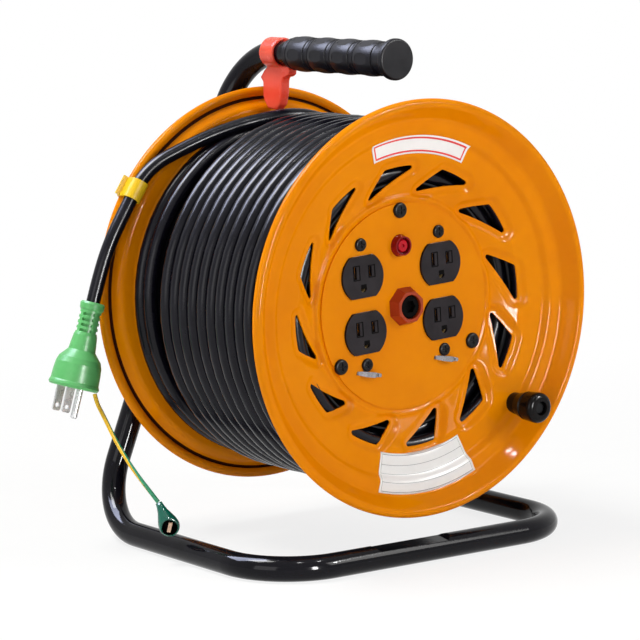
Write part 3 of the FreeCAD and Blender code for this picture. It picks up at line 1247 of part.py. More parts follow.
def main():
    """Make every piece and write one file for each."""
    plate_front, plate_rear = make_stand()
    make_axle(plate_front, plate_rear)
    make_grip()
    make_stopper()
    make_flanges()
    make_core()
    make_rear_bush()
    make_outlet_plate()
    make_outlets()
    make_front_hub()
    make_lamp()
    make_saddles()
    make_inner_parts()
    make_crank()
    make_winding()
    make_clip()
    make_plug()
    make_earth_clip()
    make_free_cord()
    os.makedirs("parts", exist_ok=True)
    for name, shape in SOLIDS.items():
        if not shape.isValid():
            print(name, "is not valid")
        shape.exportStep("parts/%s.step" % name)
    print(len(SOLIDS), "pieces")


main()
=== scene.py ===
import bmesh
import bpy
import math
from mathutils import Matrix, Vector


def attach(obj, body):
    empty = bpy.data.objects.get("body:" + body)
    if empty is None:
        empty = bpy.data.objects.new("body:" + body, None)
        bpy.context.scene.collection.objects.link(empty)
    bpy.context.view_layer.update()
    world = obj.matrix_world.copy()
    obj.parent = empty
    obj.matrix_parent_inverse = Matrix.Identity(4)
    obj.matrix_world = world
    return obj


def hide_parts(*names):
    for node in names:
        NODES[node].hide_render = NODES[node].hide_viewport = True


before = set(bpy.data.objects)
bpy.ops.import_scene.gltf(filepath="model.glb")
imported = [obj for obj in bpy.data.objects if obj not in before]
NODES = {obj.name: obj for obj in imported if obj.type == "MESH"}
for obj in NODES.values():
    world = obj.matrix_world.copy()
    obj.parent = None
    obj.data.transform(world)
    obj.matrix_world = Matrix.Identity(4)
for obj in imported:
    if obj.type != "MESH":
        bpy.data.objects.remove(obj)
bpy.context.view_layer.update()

# Places and sizes are in millimetres about the drum's axle, as in the part's source: X right, Z
# up, and Y to the rear from the front rim. Only SHEET, FILM and MELT_GRAIN are in metres.
MIDDLE_Y = 102.075
AXLE_HEIGHT = 174.65
DRUM_REST_TURN = 3.53
DRUM_WIDTH = 188.0

# The camera: where it stands, which way its back looks, and how far it is turned.
CAMERA_SPOT = (-1236.4, -1542.5, 276.0)
CAMERA_BACK = (-0.5906, -0.7944, 0.1416)
CAMERA_TURN = -36.63
CAMERA_ROLL = -0.56
CAMERA_LENS = 164.24

# The cable and how it is wound: turns, radii of its layers, and where along the drum they lie.
# WAVER holds the size, pace and start of two small waves in the layers' radius.
CABLE_R = 5.0
LEAD_R = 1.5
POINTS_A_TURN = 16
TURN_PITCH = 11.1
OUTER_TURNS = 10.9
OUTER_START_ANGLE = -30.0
OUTER_START_Y = 14.4
LAYER_R = (91.7, 102.3, 112.9, 123.5)
DIVE_R = 113.4
DEEP_PITCH = 10.3
DEEP_START = 0.111
DEEP_FLAT = 0.722
DEEP_LAYER_R = (91.7, 104.0, 118.6)
DEEP_LAST_Y = 171.2
WAVER = ((0.16, 9.1, 0.0), (0.14, 4.3, 1.0))
OUTER_SAG = 0.3
DEEP_SAG = 1.2

# The earth lead's clip: the boot's ends and outline, its rounded nose, the shares of the boot's own
# way and of the camera's that its cut faces, and the jaw inside it.
BOOT_TAIL = (-150.6, 106.0, -131.8)
BOOT_MOUTH = (-146.2, 94.7, -153.6)
BOOT_SIDE = ((0.0, 2.3), (3.0, 2.7), (6.5, 3.7), (10.0, 5.2), (13.5, 6.6), (17.0, 7.3))
BOOT_BULB_AT = 17.5
BOOT_BULB_R = 7.4
BOOT_CUT = 3.8
BOOT_CUT_FACES = (0.42, 0.9)
BOOT_WALL = 1.0
JAW_HALF_LENGTH = 3.6
JAW_HALF_WIDTH = 1.3
JAW_THICKNESS = 0.8
JAW_SUNK = 1.6
JAW_SLANT = (0.8, -0.6)
JAW_EDGE_R = 0.2

# The pressed flange: radii and depths of its sheet, the outline of a vent, the pockets round the
# vents, the ring round the plate, and the core tube between the flanges.
SHEET = 0.001
BEAD_R = 3.6
BEAD_CENTRE_R = 140.4
BEAD_LIP_ANGLE = 150.0
BEAD_LEAVE_ANGLE = -141.7
BEAD_STEPS = 26
DISH_CORNERS = ((129.5, 8.0), (120.5, 8.0), (116.5, 12.0), (97.0, 15.0), (78.5, 23.5))
DISH_BEND_R = 5.0
DISH_FACE_Y = 23.5
FACE_STEP = 0.75
FINE_STEP = 1.3
COARSE_STEP = 6.0
FRONT_OPENING_R = 63.5
REAR_OPENING_R = 12.0
VENTS = 12
VENT_ANGLE = 360.0 / VENTS
VENT_START_ANGLE = -8.0
VENT_OUTER_R = 97.6
VENT_OUTER_SPAN = 17.0
VENT_TIP_R = 77.8
VENT_TIP_TURN = 28.0
VENT_BOW = 1.6
VENT_CROWN = 0.9
VENT_CORNER_R = 1.4
STEPS_A_VENT = 40
# Painted shade in the hollow of the rim's curl: how near the bead's centre, and how squarely facing
# it, a face must be to be painted dark.
CURL_SHADE_REACH = 5.4
CURL_SHADE_FACING = 0.6
POCKET_FIELD = (70.0, 106.0)
POCKET_DEPTH = 2.1
POCKET_FLAT = 2.2
POCKET_REACH = 6.6
RING_R = 75.2
RING_HALF_WIDTH = 2.7
RING_HEIGHT = 1.1
CORE_R = (86.2, 85.0)
CORE_END_Y = 24.2

# The panel: the middle between its outlets, and painted shade round their slots and on their earth
# holes: near-black lines and films in place of the shade of recesses and holes.
OUTLETS_X = -1.36
OUTLETS_Z = 6.02
OUTLET_FACE_Y = 20.9
OUTLET_HALF_SPACING = (34.05, 19.45)
SLOT_HALF_SPACING = 6.45
SLOT_RISE = 3.3
SHADE_LINE_SIDES = (-1.9, 3.9)
SHADE_LINE_REACHES = (5.2, 4.4)
SHADE_LINE_WIDTH = 0.65
SHADE_LINE_PROUD = 0.25
SHADE_LINE_SUNK = 0.3
HOLE_SHADE = (2.3, -8.0, -5.0)
HOLE_SHADE_PROUD = 0.06
FILM = 0.00012

# The stopper's melted edges, the grip's pads, and the labels as (start angle, end angle, inner
# radius, outer radius).
MELT_GRAIN = 0.0006
MELT_ROUNDS = 10
GRIP_Z = 169.2
GRIP_CRESTS = (133.9, 107.8, 81.7, 55.5)
GRIP_RING_REACH = 10.3
GRIP_RING_R = 11.5
GRIP_RING_HALF = 0.55
UPPER_LABEL = (65.8, 108.0, 106.0, 118.6)
LOWER_LABEL = (254.0, 293.0, 101.5, 129.0)


def place(x, y, z):
    """A point of the object's frame, in metres."""
    return Vector((x, y - MIDDLE_Y, z + AXLE_HEIGHT)) / 1000.0


def polar(radius, angle, y):
    """A point at a radius and an angle about the axle, seen from the front."""
    turn = math.radians(angle)
    return place(radius * math.cos(turn), y, radius * math.sin(turn))


def new_object(name, data):
    """Put an object of this data, or of this bmesh, into the scene."""
    if isinstance(data, bmesh.types.BMesh):
        mesh = bpy.data.meshes.new(name)
        data.to_mesh(mesh)
        data.free()
        data = mesh
    made = bpy.data.objects.new(name, data)
    bpy.context.scene.collection.objects.link(made)
    return made


def shade_smooth(mesh, sharp):
    """Smooth shading, with edges kept sharp from an angle in degrees on."""
    for polygon in mesh.polygons:
        polygon.use_smooth = True
    mesh.set_sharp_from_angle(angle=math.radians(sharp))


def dress(piece, material):
    """Give a piece its material, and nothing else."""
    piece.data.materials.clear()
    piece.data.materials.append(material)


def finish_piece(name, bm, body, material, sharp=40.0):
    """Make an object of a bmesh, and let it ride on its body."""
    bmesh.ops.recalc_face_normals(bm, faces=bm.faces)
    piece = new_object(name, bm)
    shade_smooth(piece.data, sharp)
    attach(piece, body)
    dress(piece, material)
    return piece


def revolve(bm, section, start, along, steps, closed=False):
    """Turn a section of (distance along, radius) points about an axis."""
    side = along.orthogonal().normalized()
    verts = [bm.verts.new(start + along * (d / 1000.0) + side * (r / 1000.0))
             for d, r in section]
    edges = [bm.edges.new(pair) for pair in zip(verts, verts[1:])]
    if closed:
        edges.append(bm.edges.new((verts[-1], verts[0])))
    bmesh.ops.spin(bm, geom=verts + edges, cent=start, axis=along, angle=2.0 * math.pi,
                   steps=steps, use_merge=True)


# Camera

def make_camera():
    """The camera at the photograph's angle."""
    turn = math.radians(CAMERA_TURN)
    roll = math.radians(CAMERA_ROLL)
    back = Vector(CAMERA_BACK).normalized()
    across = Vector((math.cos(turn), math.sin(turn), 0.0))
    above = back.cross(across)
    right = across * math.cos(roll) + above * math.sin(roll)
    up = above * math.cos(roll) - across * math.sin(roll)
    data = bpy.data.cameras.new("camera")
    data.sensor_width = 36.0
    data.lens = CAMERA_LENS
    camera = new_object("camera", data)
    camera.matrix_world = Matrix.Translation(place(*CAMERA_SPOT)) @ Matrix(
        (right, up, back)).transposed().to_4x4()
    bpy.context.scene.camera = camera


# Cords

def smooth_cord(name, points, radius, steps, sides):
    """A round cord on one smooth line through the control points."""
    curve = bpy.data.curves.new(name, "CURVE")
    curve.dimensions = "3D"
    spline = curve.splines.new("NURBS")
    spline.points.add(len(points) - 1)
    for point, spot in zip(spline.points, points):
        point.co = (spot[0], spot[1], spot[2], 1.0)
        point.radius = radius / 1000.0
    spline.order_u = 3
    spline.use_endpoint_u = True
    curve.resolution_u = steps
    curve.bevel_depth = 1.0
    curve.bevel_resolution = sides
    curve.use_fill_caps = True
    return new_object(name, curve)


CORD_ROUTE = (
    (97.4, 148.0, -35.4), (107.0, 148.0, 0.0), (104.3, 148.0, 38.0), (88.1, 148.0, 73.9),
    (62.0, 148.0, 101.5), (32.0, 148.0, 118.7), (2.0, 148.2, 126.4), (-28.0, 155.0, 122.6),
    (-53.5, 165.2, 115.2), (-76.8, 171.9, 105.9), (-107.7, 179.0, 91.4),
    (-126.8, 179.0, 62.0), (-138.8, 179.0, 42.2), (-148.1, 179.0, 20.6), (-154.4, 179.0, 0.0),
)
LEAD_ROUTE = (
    (-160.6, 169.7, -63.1), (-160.4, 167.5, -69.1), (-159.3, 163.0, -75.4),
    (-159.0, 156.0, -83.0), (-159.4, 147.0, -91.6), (-159.5, 136.5, -100.5),
    (-158.8, 126.0, -109.4), (-156.4, 115.5, -119.0), (-153.4, 109.0, -126.4),
    (-150.8, 106.2, -131.4),
)


def make_boot():
    """The clip's hollow boot, cut open obliquely at its mouth, and the jaw inside it."""
    tail, mouth = place(*BOOT_TAIL), place(*BOOT_MOUTH)
    along = (mouth - tail).normalized()
    angles = [math.radians(angle) for angle in range(5, 90, 10)]
    bulb = [(BOOT_BULB_AT + BOOT_BULB_R * math.sin(a), BOOT_BULB_R * math.cos(a)) for a in angles]
    bm = bmesh.new()
    revolve(bm, [*BOOT_SIDE, *bulb], tail, along, 40)
    own_share, camera_share = BOOT_CUT_FACES
    open_way = (along * own_share + Vector(CAMERA_BACK) * camera_share).normalized()
    cut_at = tail + (along * BOOT_BULB_AT + open_way * BOOT_CUT) / 1000.0
    bmesh.ops.bisect_plane(bm, geom=bm.verts[:] + bm.edges[:] + bm.faces[:], plane_co=cut_at,
                           plane_no=open_way, clear_outer=True)
    boot = finish_piece("hollow_boot", bm, "stand", FINISH["boot"], 50.0)
    # Painted shade: the boot's inside wall takes the second, near-black painted-shade finish, for
    # the dark of its open mouth.
    boot.data.materials.append(FINISH["painted_shade"])
    wall = boot.modifiers.new("wall", "SOLIDIFY")
    wall.thickness = BOOT_WALL / 1000.0
    wall.offset = -1.0
    wall.material_offset = 1
    wall.material_offset_rim = 0
    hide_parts("earth_clip_boot")

    across = open_way.cross(along).normalized()
    lengthwise = across.cross(open_way).normalized()
    slant = (lengthwise * JAW_SLANT[0] + across * JAW_SLANT[1]).normalized()
    wide = slant.cross(open_way).normalized()
    middle = cut_at - open_way * (JAW_SUNK / 1000.0)
    bm = bmesh.new()
    ring = [bm.verts.new(middle + slant * (JAW_HALF_LENGTH * a / 1000.0)
                         + wide * (JAW_HALF_WIDTH * b / 1000.0))
            for a, b in ((-1, -1), (1, -1), (1, 1), (-1, 1))]
    face = bm.faces.new(ring)
    face.normal_update()
    bmesh.ops.solidify(bm, geom=[face], thickness=JAW_THICKNESS / 1000.0)
    bmesh.ops.bevel(bm, geom=bm.edges[:], offset=JAW_EDGE_R / 1000.0, segments=2,
                    affect="EDGES")
    jaw = finish_piece("clip_jaw", bm, "stand", FINISH["copper"], 40.0)
    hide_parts("earth_clip_jaws")
    return boot, jaw


def make_free_cord():
    """The cord from the winding to its plug, and the thin earth lead beside it."""
    cord = smooth_cord("free_cord", [place(*spot) for spot in CORD_ROUTE], CABLE_R, 12, 6)
    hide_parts("power_cord")
    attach(cord, "stand")
    lead = smooth_cord("lead_line", [place(*spot) for spot in LEAD_ROUTE], LEAD_R, 10, 4)
    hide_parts("earth_lead")
    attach(lead, "stand")
    make_boot()
    dress(cord, FINISH["jacket"])
    dress(lead, FINISH["lead"])


def wound_points(stops, sag):
    """Control points of a cable wound through (turns, radius, y) stops."""
    spread = 0.75 + 0.25 * math.cos(2.0 * math.pi / POINTS_A_TURN)
    points = []
    for (start, r0, y0), (end, r1, y1) in zip(stops, stops[1:]):
        count = int(round((end - start) * POINTS_A_TURN))
        for number in range(count):
            share = number / count
            turn = start + (end - start) * share
            wave = sum(size * math.sin(turn * pace + begin) for size, pace, begin in WAVER)
            wave -= sag * math.sin(math.tau * turn)
            points.append(polar((r0 + (r1 - r0) * share + wave) / spread,
                                360.0 * turn + DRUM_REST_TURN,
                                y0 + (y1 - y0) * share))
    return points


def make_turns():
    """Both blocks of turns, as two cords that turn with the drum."""
    start = OUTER_START_ANGLE / 360.0
    end_y = OUTER_START_Y + OUTER_TURNS * TURN_PITCH
    first_r, second_r, third_r, outer_r = LAYER_R
    front_stops = (
        (start - 34.95, first_r, 135.5), (start - 24.35, first_r, 24.8),
        (start - 24.0, second_r, 20.9), (start - 12.6, second_r, 135.4),
        (start - 11.35, third_r, 131.9), (start - 0.35, third_r, 18.9),
        (start, outer_r, OUTER_START_Y), (start + OUTER_TURNS, outer_r, end_y),
        (start + 11.15, 119.0, end_y + 1.2), (start + 11.5, DIVE_R, end_y + 1.4),
    )
    base_r, middle_r, deep_r = DEEP_LAYER_R
    base_y = DRUM_WIDTH - 24.8
    before_y = DEEP_LAST_Y - DEEP_PITCH
    rear_stops = (
        (-3.9, base_r, base_y - 10.5), (-2.9, base_r, base_y - 10.5), (-2.6, base_r, base_y),
        (-2.1, base_r, base_y), (-1.9, middle_r, 168.4), (-1.2, middle_r, 168.4),
        (-0.9, middle_r, 158.0), (-0.2, middle_r, 158.0),
        (DEEP_START, deep_r, before_y), (DEEP_START + DEEP_FLAT, deep_r, before_y),
        (DEEP_START + 1.0, deep_r, DEEP_LAST_Y),
        (DEEP_START + 1.0 + DEEP_FLAT, deep_r, DEEP_LAST_Y),
    )
    front = smooth_cord("wound_cable", wound_points(front_stops, OUTER_SAG), CABLE_R, 4, 5)
    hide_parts("cable_winding", "cable_core")
    rear = smooth_cord("wound_cable_rear", wound_points(rear_stops, DEEP_SAG), CABLE_R, 4, 5)
    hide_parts("cable_deep_turns")
    for turns in (front, rear):
        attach(turns, "drum")
        dress(turns, FINISH["jacket"])


# Flanges

def conic(start, corner, end, weight, steps):
    """Points of the round curve that a corner's two sides are tangent to."""
    points = []
    for number in range(steps + 1):
        u = number / steps
        shares = (1.0 - u) ** 2, 2.0 * weight * u * (1.0 - u), u * u
        points.append((start * shares[0] + corner * shares[1] + end * shares[2]) / sum(shares))
    return points


def rounded(corner, before, after, radius, steps):
    """A corner rounded to a radius, between the points that come before and after it."""
    back = (before - corner).normalized()
    on = (after - corner).normalized()
    half = back.angle(on) / 2.0
    reach = radius / math.tan(half)
    return conic(corner + back * reach, corner, corner + on * reach, math.sin(half), steps)


def dish_profile(opening_r):
    """The outer face of the sheet, from the lip of the rim's curl to the opening, as (r, y)."""
    step = (BEAD_LEAVE_ANGLE - BEAD_LIP_ANGLE) / BEAD_STEPS
    angles = [math.radians(BEAD_LIP_ANGLE + step * number) for number in range(BEAD_STEPS + 1)]
    points = [Vector((BEAD_CENTRE_R + BEAD_R * math.cos(a), BEAD_R * math.sin(a)))
              for a in angles]
    opening = Vector((opening_r, DISH_FACE_Y))
    corners = [points[-1]] + [Vector(c) for c in DISH_CORNERS] + [opening]
    for before, corner, after in zip(corners, corners[1:], corners[2:]):
        for spot in rounded(corner, before, after, DISH_BEND_R, 4):
            start = points[-1]
            gap = spot - start
            most = FINE_STEP if spot.x < POCKET_FIELD[1] else COARSE_STEP
            pieces = max(1, math.ceil(gap.length / most))
            points += [start + gap * (number / pieces) for number in range(1, pieces + 1)]
    edge = points[-1].x
    points += [Vector((edge - FACE_STEP * number, DISH_FACE_Y)) for number in range(1, 9)]
    points.append(opening)
    return points


def vent_outline():
    """One vent's rounded outline about the axle, seen from the front."""
    def spot(radius, angle):
        turn = math.radians(angle)
        return Vector((radius * math.cos(turn), radius * math.sin(turn)))

    first = spot(VENT_OUTER_R, VENT_START_ANGLE)
    second = spot(VENT_OUTER_R, VENT_START_ANGLE + VENT_OUTER_SPAN)
    tip = spot(VENT_TIP_R, VENT_START_ANGLE + VENT_TIP_TURN)
    hollow = (first + tip) / 2.0
    hollow += (second - hollow).normalized() * VENT_BOW
    crown = (second + tip) / 2.0
    crown += (crown - first).normalized() * VENT_CROWN
    bulge = spot(VENT_OUTER_R, VENT_START_ANGLE + VENT_OUTER_SPAN / 2.0)
    sides = [conic(first, bulge * 2.0 - (first + second) / 2.0, second, 1.0, 24),
             conic(second, crown * 2.0 - (second + tip) / 2.0, tip, 1.0, 24),
             conic(tip, hollow * 2.0 - (tip + first) / 2.0, first, 1.0, 24)]
    corners = []
    for side, following in zip(sides, sides[1:] + sides[:1]):
        corner = side[-1]
        half = (side[-4] - corner).angle(following[3] - corner) / 2.0
        corners.append((corner, math.sin(half), VENT_CORNER_R / math.tan(half)))
    outline = []
    for number, side in enumerate(sides):
        last, (corner, weight, reach) = corners[number - 1], corners[number]
        kept = [p for p in side if (p - last[0]).length > last[2] and (p - corner).length > reach]
        following = sides[(number + 1) % 3]
        onward = next(p for p in following if (p - corner).length > reach)
        outline += kept + conic(kept[-1], corner, onward, weight, 6)[1:-1]
    return outline


def off_outline(spot, outline):
    """How far a spot lies outside an outline, or nought within it."""
    inside = False
    least = 1000.0
    for a, b in zip(outline, outline[1:] + outline[:1]):
        way = b - a
        share = min(1.0, max(0.0, (spot - a).dot(way) / way.length_squared))
        least = min(least, (spot - a - way * share).length)
        if (a.y > spot.y) != (b.y > spot.y):
            if spot.x < a.x + (spot.y - a.y) / (b.y - a.y) * (b.x - a.x):
                inside = not inside
    return 0.0 if inside else least


def pocket_depths(outline, radii):
    """How deep the pockets are pressed at each radius and step of one vent's share."""
    depths = {}
    for radius in radii:
        for step in range(STEPS_A_VENT):
            turn = math.radians(VENT_ANGLE * step / STEPS_A_VENT)
            depth = 0.0
            for neighbour in (-1, 0, 1):
                angle = turn + math.radians(VENT_ANGLE * neighbour)
                spot = Vector((radius * math.cos(angle), radius * math.sin(angle)))
                off = off_outline(spot, outline)
                share = min(1.0, max(0.0, (POCKET_REACH - off) / (POCKET_REACH - POCKET_FLAT)))
                depth = max(depth, POCKET_DEPTH * share * share * (3.0 - 2.0 * share))
            depths[radius, step] = depth
    return depths


def press_pockets(bm, profile, outline):
    """Press the pockets round the vents, and raise the soft ring round the plate."""
    low, high = POCKET_FIELD
    near = sorted({round(r, 4) for r, y in profile if low < r < high})
    depths = pocket_depths(outline, near)
    axle = place(0.0, 0.0, 0.0)
    for vertex in bm.verts:
        spot = (vertex.co - axle) * 1000.0
        radius = round(math.hypot(spot.x, spot.z), 4)
        if low < radius < high:
            key = min(near, key=lambda r: abs(r - radius))
            angle = math.degrees(math.atan2(spot.z, spot.x)) - DRUM_REST_TURN
            step = round(angle / VENT_ANGLE * STEPS_A_VENT) % STEPS_A_VENT
            off = min(1.0, abs(radius - RING_R) / RING_HALF_WIDTH)
            ring = RING_HEIGHT * (0.5 + 0.5 * math.cos(math.pi * off))
            vertex.co.y += (depths[key, step] - ring) / 1000.0


def pressed_sheet(name, profile, outline):
    """The sheet's outer face with its pockets pressed, and its wall as a modifier."""
    axle = place(0.0, 0.0, 0.0)
    bm = bmesh.new()
    chain = [bm.verts.new(polar(r, DRUM_REST_TURN, y)) for r, y in profile]
    links = [bm.edges.new(pair) for pair in zip(chain, chain[1:])]
    bmesh.ops.spin(bm, geom=chain + links, cent=axle, axis=(0.0, -1.0, 0.0),
                   angle=2.0 * math.pi, steps=VENTS * STEPS_A_VENT, use_merge=True)
    press_pockets(bm, profile, outline)
    bmesh.ops.recalc_face_normals(bm, faces=bm.faces)
    inner = min(bm.faces, key=lambda face: (face.calc_center_median() - axle).length)
    if inner.normal.y > 0.0:
        bmesh.ops.reverse_faces(bm, faces=bm.faces)
    sheet = new_object(name, bm)
    wall = sheet.modifiers.new("wall", "SOLIDIFY")
    wall.thickness = SHEET
    wall.offset = -1.0
    wall.use_even_offset = True
    return sheet


def vent_punch(outline):
    """Twelve bars of the vent's outline, to cut the sheet with."""
    bm = bmesh.new()
    for number in range(VENTS):
        turn = math.radians(VENT_ANGLE * number + DRUM_REST_TURN)
        ring = [bm.verts.new(place(p.x * math.cos(turn) - p.y * math.sin(turn), 5.0,
                                   p.x * math.sin(turn) + p.y * math.cos(turn)))
                for p in outline]
        pushed = bmesh.ops.extrude_face_region(bm, geom=[bm.faces.new(ring)])
        moved = [v for v in pushed["geom"] if isinstance(v, bmesh.types.BMVert)]
        bmesh.ops.translate(bm, verts=moved, vec=(0.0, 0.03, 0.0))
    bmesh.ops.recalc_face_normals(bm, faces=bm.faces)
    return new_object("vents", bm)


def mark_curl_shade(mesh):
    """Paint shade into the hollow of the rim's curl: its faces get the dark painted-shade finish.
    """
    axle = place(0.0, 0.0, 0.0)
    for polygon in mesh.polygons:
        spot = (polygon.center - axle) * 1000.0
        radius = math.hypot(spot.x, spot.z)
        out = Vector((spot.x, 0.0, spot.z)) / radius
        to_bead = out * (BEAD_CENTRE_R - radius) - Vector((0.0, spot.y, 0.0))
        facing = polygon.normal.dot(to_bead) > CURL_SHADE_FACING * to_bead.length
        if facing and to_bead.length < CURL_SHADE_REACH:
            polygon.material_index = 1


def rear_side(spot):
    """A front flange's point turned round to the rear flange's place."""
    half = DRUM_WIDTH / 2.0 - MIDDLE_Y
    return Vector((-spot.x, half / 500.0 - spot.y, spot.z))


def make_flange(name, opening_r, rear):
    """A pressed flange: curled rim, dish, soft pockets and twelve swept vents."""
    outline = vent_outline()
    sheet = pressed_sheet(name, dish_profile(opening_r), outline)
    punch = vent_punch(outline)
    cut = sheet.modifiers.new("cut", "BOOLEAN")
    cut.operation = "DIFFERENCE"
    cut.solver = "EXACT"
    cut.object = punch
    bpy.context.view_layer.update()
    made = bpy.data.meshes.new_from_object(
        sheet.evaluated_get(bpy.context.evaluated_depsgraph_get()))
    bpy.data.objects.remove(punch)
    sheet.modifiers.clear()
    sheet.data = made
    # The second material is painted shade for the hollow of the rim's curl.
    for finish in ("enamel", "curl_shade"):
        made.materials.append(FINISH[finish])
    mark_curl_shade(made)
    if rear:
        for vertex in made.vertices:
            vertex.co = rear_side(vertex.co)
    shade_smooth(made, 40.0)
    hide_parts("rear_flange" if rear else "front_flange")
    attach(sheet, "drum")


def make_core():
    """The core tube, with both ends clear of the flanges' pockets."""
    near, far = CORE_END_Y, DRUM_WIDTH - CORE_END_Y
    outer, inner = CORE_R
    bm = bmesh.new()
    ring = [bm.verts.new(polar(r, 0.0, y)) for r, y in
            ((outer, near), (outer, far), (inner, far), (inner, near))]
    edges = [bm.edges.new(pair) for pair in zip(ring, ring[1:] + ring[:1])]
    bmesh.ops.spin(bm, geom=ring + edges, cent=place(0.0, 0.0, 0.0), axis=(0.0, -1.0, 0.0),
                   angle=2.0 * math.pi, steps=96, use_merge=True)
    tube = finish_piece("core_tube", bm, "drum", FINISH["core"])
    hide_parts("drum_core_tube")


# Outlets, stopper and grip

def on_panel(x, z, y):
    """A point of the panel, turned with the drum to its rest."""
    turn = math.radians(DRUM_REST_TURN)
    return place(x * math.cos(turn) - z * math.sin(turn), y,
                 x * math.sin(turn) + z * math.cos(turn))


def panel_patch(bm, low, high, y):
    """A flat rectangle on the panel, between two corners."""
    (x0, z0), (x1, z1) = low, high
    face = bm.faces.new([bm.verts.new(on_panel(x, z, y))
                         for x, z in ((x0, z0), (x1, z0), (x1, z1), (x0, z1))])
    face.normal_update()
    return face


def make_slot_shadow_lines():
    """Painted shade on the outlets: a near-black line, barely proud, round every blade slot in
    place of a recess's shade, and a near-black film on the top of each earth hole so it reads as a
    U-shaped opening in shade.
    """
    slot_shades, hole_shades = bmesh.new(), bmesh.new()
    wide, tall = OUTLET_HALF_SPACING
    for cx in (OUTLETS_X - wide, OUTLETS_X + wide):
        for cz in (OUTLETS_Z - tall, OUTLETS_Z + tall):
            z = cz + SLOT_RISE
            for side, reach in zip((-SLOT_HALF_SPACING, SLOT_HALF_SPACING), SHADE_LINE_REACHES):
                x = cx + side
                face = panel_patch(slot_shades, (x + SHADE_LINE_SIDES[0], z - reach),
                                   (x + SHADE_LINE_SIDES[1], z + reach), OUTLET_FACE_Y - SHADE_LINE_PROUD)
                bars = bmesh.ops.inset_region(slot_shades, faces=[face], use_boundary=True,
                                              use_even_offset=True,
                                              thickness=SHADE_LINE_WIDTH / 1000.0)["faces"]
                bmesh.ops.delete(slot_shades, geom=[face], context="FACES_ONLY")
                bmesh.ops.solidify(slot_shades, geom=bars,
                                   thickness=(SHADE_LINE_PROUD + SHADE_LINE_SUNK) / 1000.0)
            # Painted shade: a thin near-black film over the top of each earth hole, as the hole's
            # shaded opening.
            half, low, high = HOLE_SHADE
            face = panel_patch(hole_shades, (cx - half, cz + low), (cx + half, cz + high),
                               OUTLET_FACE_Y - HOLE_SHADE_PROUD)
            bmesh.ops.solidify(hole_shades, geom=[face], thickness=FILM)
    finish_piece("slot_shadow_lines", slot_shades, "drum", FINISH["painted_shade"])
    finish_piece("earth_hole_shade_films", hole_shades, "drum", FINISH["painted_shade"])


def make_stopper():
    """The stopper's soft moulding: the CAD form with its edges melted round."""
    bm = bmesh.new()
    bm.from_mesh(NODES["stopper"].data)
    bmesh.ops.remove_doubles(bm, verts=bm.verts, dist=0.00002)
    piece = finish_piece("soft_stopper", bm, "stopper", FINISH["stopper"], 180.0)
    melt = piece.modifiers.new("melt", "REMESH")
    melt.mode = "VOXEL"
    melt.voxel_size = MELT_GRAIN
    melt.use_smooth_shade = True
    even = piece.modifiers.new("even", "SMOOTH")
    even.factor = 0.5
    even.iterations = MELT_ROUNDS
    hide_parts("stopper")


def make_grip_rings():
    """The raised ring at each end of the grip's four finger pads."""
    angles = [math.tau * number / 10 for number in range(10)]
    section = [(GRIP_RING_HALF * math.sin(a), GRIP_RING_R + GRIP_RING_HALF * math.cos(a))
               for a in angles]
    bm = bmesh.new()
    for crest in GRIP_CRESTS:
        for reach in (-GRIP_RING_REACH, GRIP_RING_REACH):
            revolve(bm, section, place(0.0, crest + reach, GRIP_Z), Vector((0.0, 1.0, 0.0)), 48,
                    True)
    finish_piece("grip_rings", bm, "stand", FINISH["grip"], 80.0)


# Labels

def make_label(name, bend, columns, rows, material):
    """A thin label laid on the front flange along Y, with its own flat UV map."""
    start, end, inner, outer = bend
    bm = bmesh.new()
    bm.loops.layers.uv.new("UVMap")
    bmesh.ops.create_grid(bm, x_segments=columns, y_segments=rows, size=0.5, calc_uvs=True)
    for vertex in bm.verts:
        across = vertex.co.x + 0.5
        out = vertex.co.y + 0.5
        vertex.co = polar(inner + (outer - inner) * out, end + (start - end) * across, -10.0)
    label = new_object(name, bm)
    for polygon in label.data.polygons:
        polygon.use_smooth = True
    wrap = label.modifiers.new("wrap", "SHRINKWRAP")
    wrap.target = bpy.data.objects["pressed_flange_front"]
    wrap.wrap_method = "PROJECT"
    wrap.use_project_x = False
    wrap.use_project_y = True
    wrap.use_project_z = False
    wrap.use_positive_direction = True
    wrap.use_negative_direction = False
    wrap.offset = FILM
    depth = label.modifiers.new("depth", "SOLIDIFY")
    depth.thickness = FILM
    depth.offset = 0.0
    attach(label, "drum")
    dress(label, material)


# Materials

def feed(tree, entry, value):
    """Link an output to an input, or give the input a plain value."""
    if isinstance(value, bpy.types.NodeSocket):
        tree.links.new(value, entry)
    else:
        entry.default_value = value


def maths(tree, operation, *values):
    """The result of a math node."""
    node = tree.nodes.new("ShaderNodeMath")
    node.operation = operation
    for entry, value in zip(node.inputs, values):
        feed(tree, entry, value)
    return node.outputs[0]


def noise(tree, where, scale, detail):
    """Soft noise at a scale."""
    node = tree.nodes.new("ShaderNodeTexNoise")
    feed(tree, node.inputs["Vector"], where)
    feed(tree, node.inputs["Scale"], scale)
    node.inputs["Detail"].default_value = detail
    return node.outputs["Fac"]


def graded(tree, value, low, high, to_low=0.0, to_high=1.0):
    """A value moved from one range to another."""
    node = tree.nodes.new("ShaderNodeMapRange")
    for entry, setting in (("Value", value), ("From Min", low), ("From Max", high),
                           ("To Min", to_low), ("To Max", to_high)):
        feed(tree, node.inputs[entry], setting)
    return node


def axes(tree, vector):
    """A vector's X, Y and Z."""
    node = tree.nodes.new("ShaderNodeSeparateXYZ")
    tree.links.new(vector, node.inputs[0])
    return node.outputs


def tinted(tree, share, base, other):
    """Two colours mixed by a share."""
    node = tree.nodes.new("ShaderNodeMix")
    node.data_type = "RGBA"
    for entry, value in (("Factor", share), ("A", base), ("B", other)):
        feed(tree, node.inputs[entry], value)
    return node.outputs["Result"]


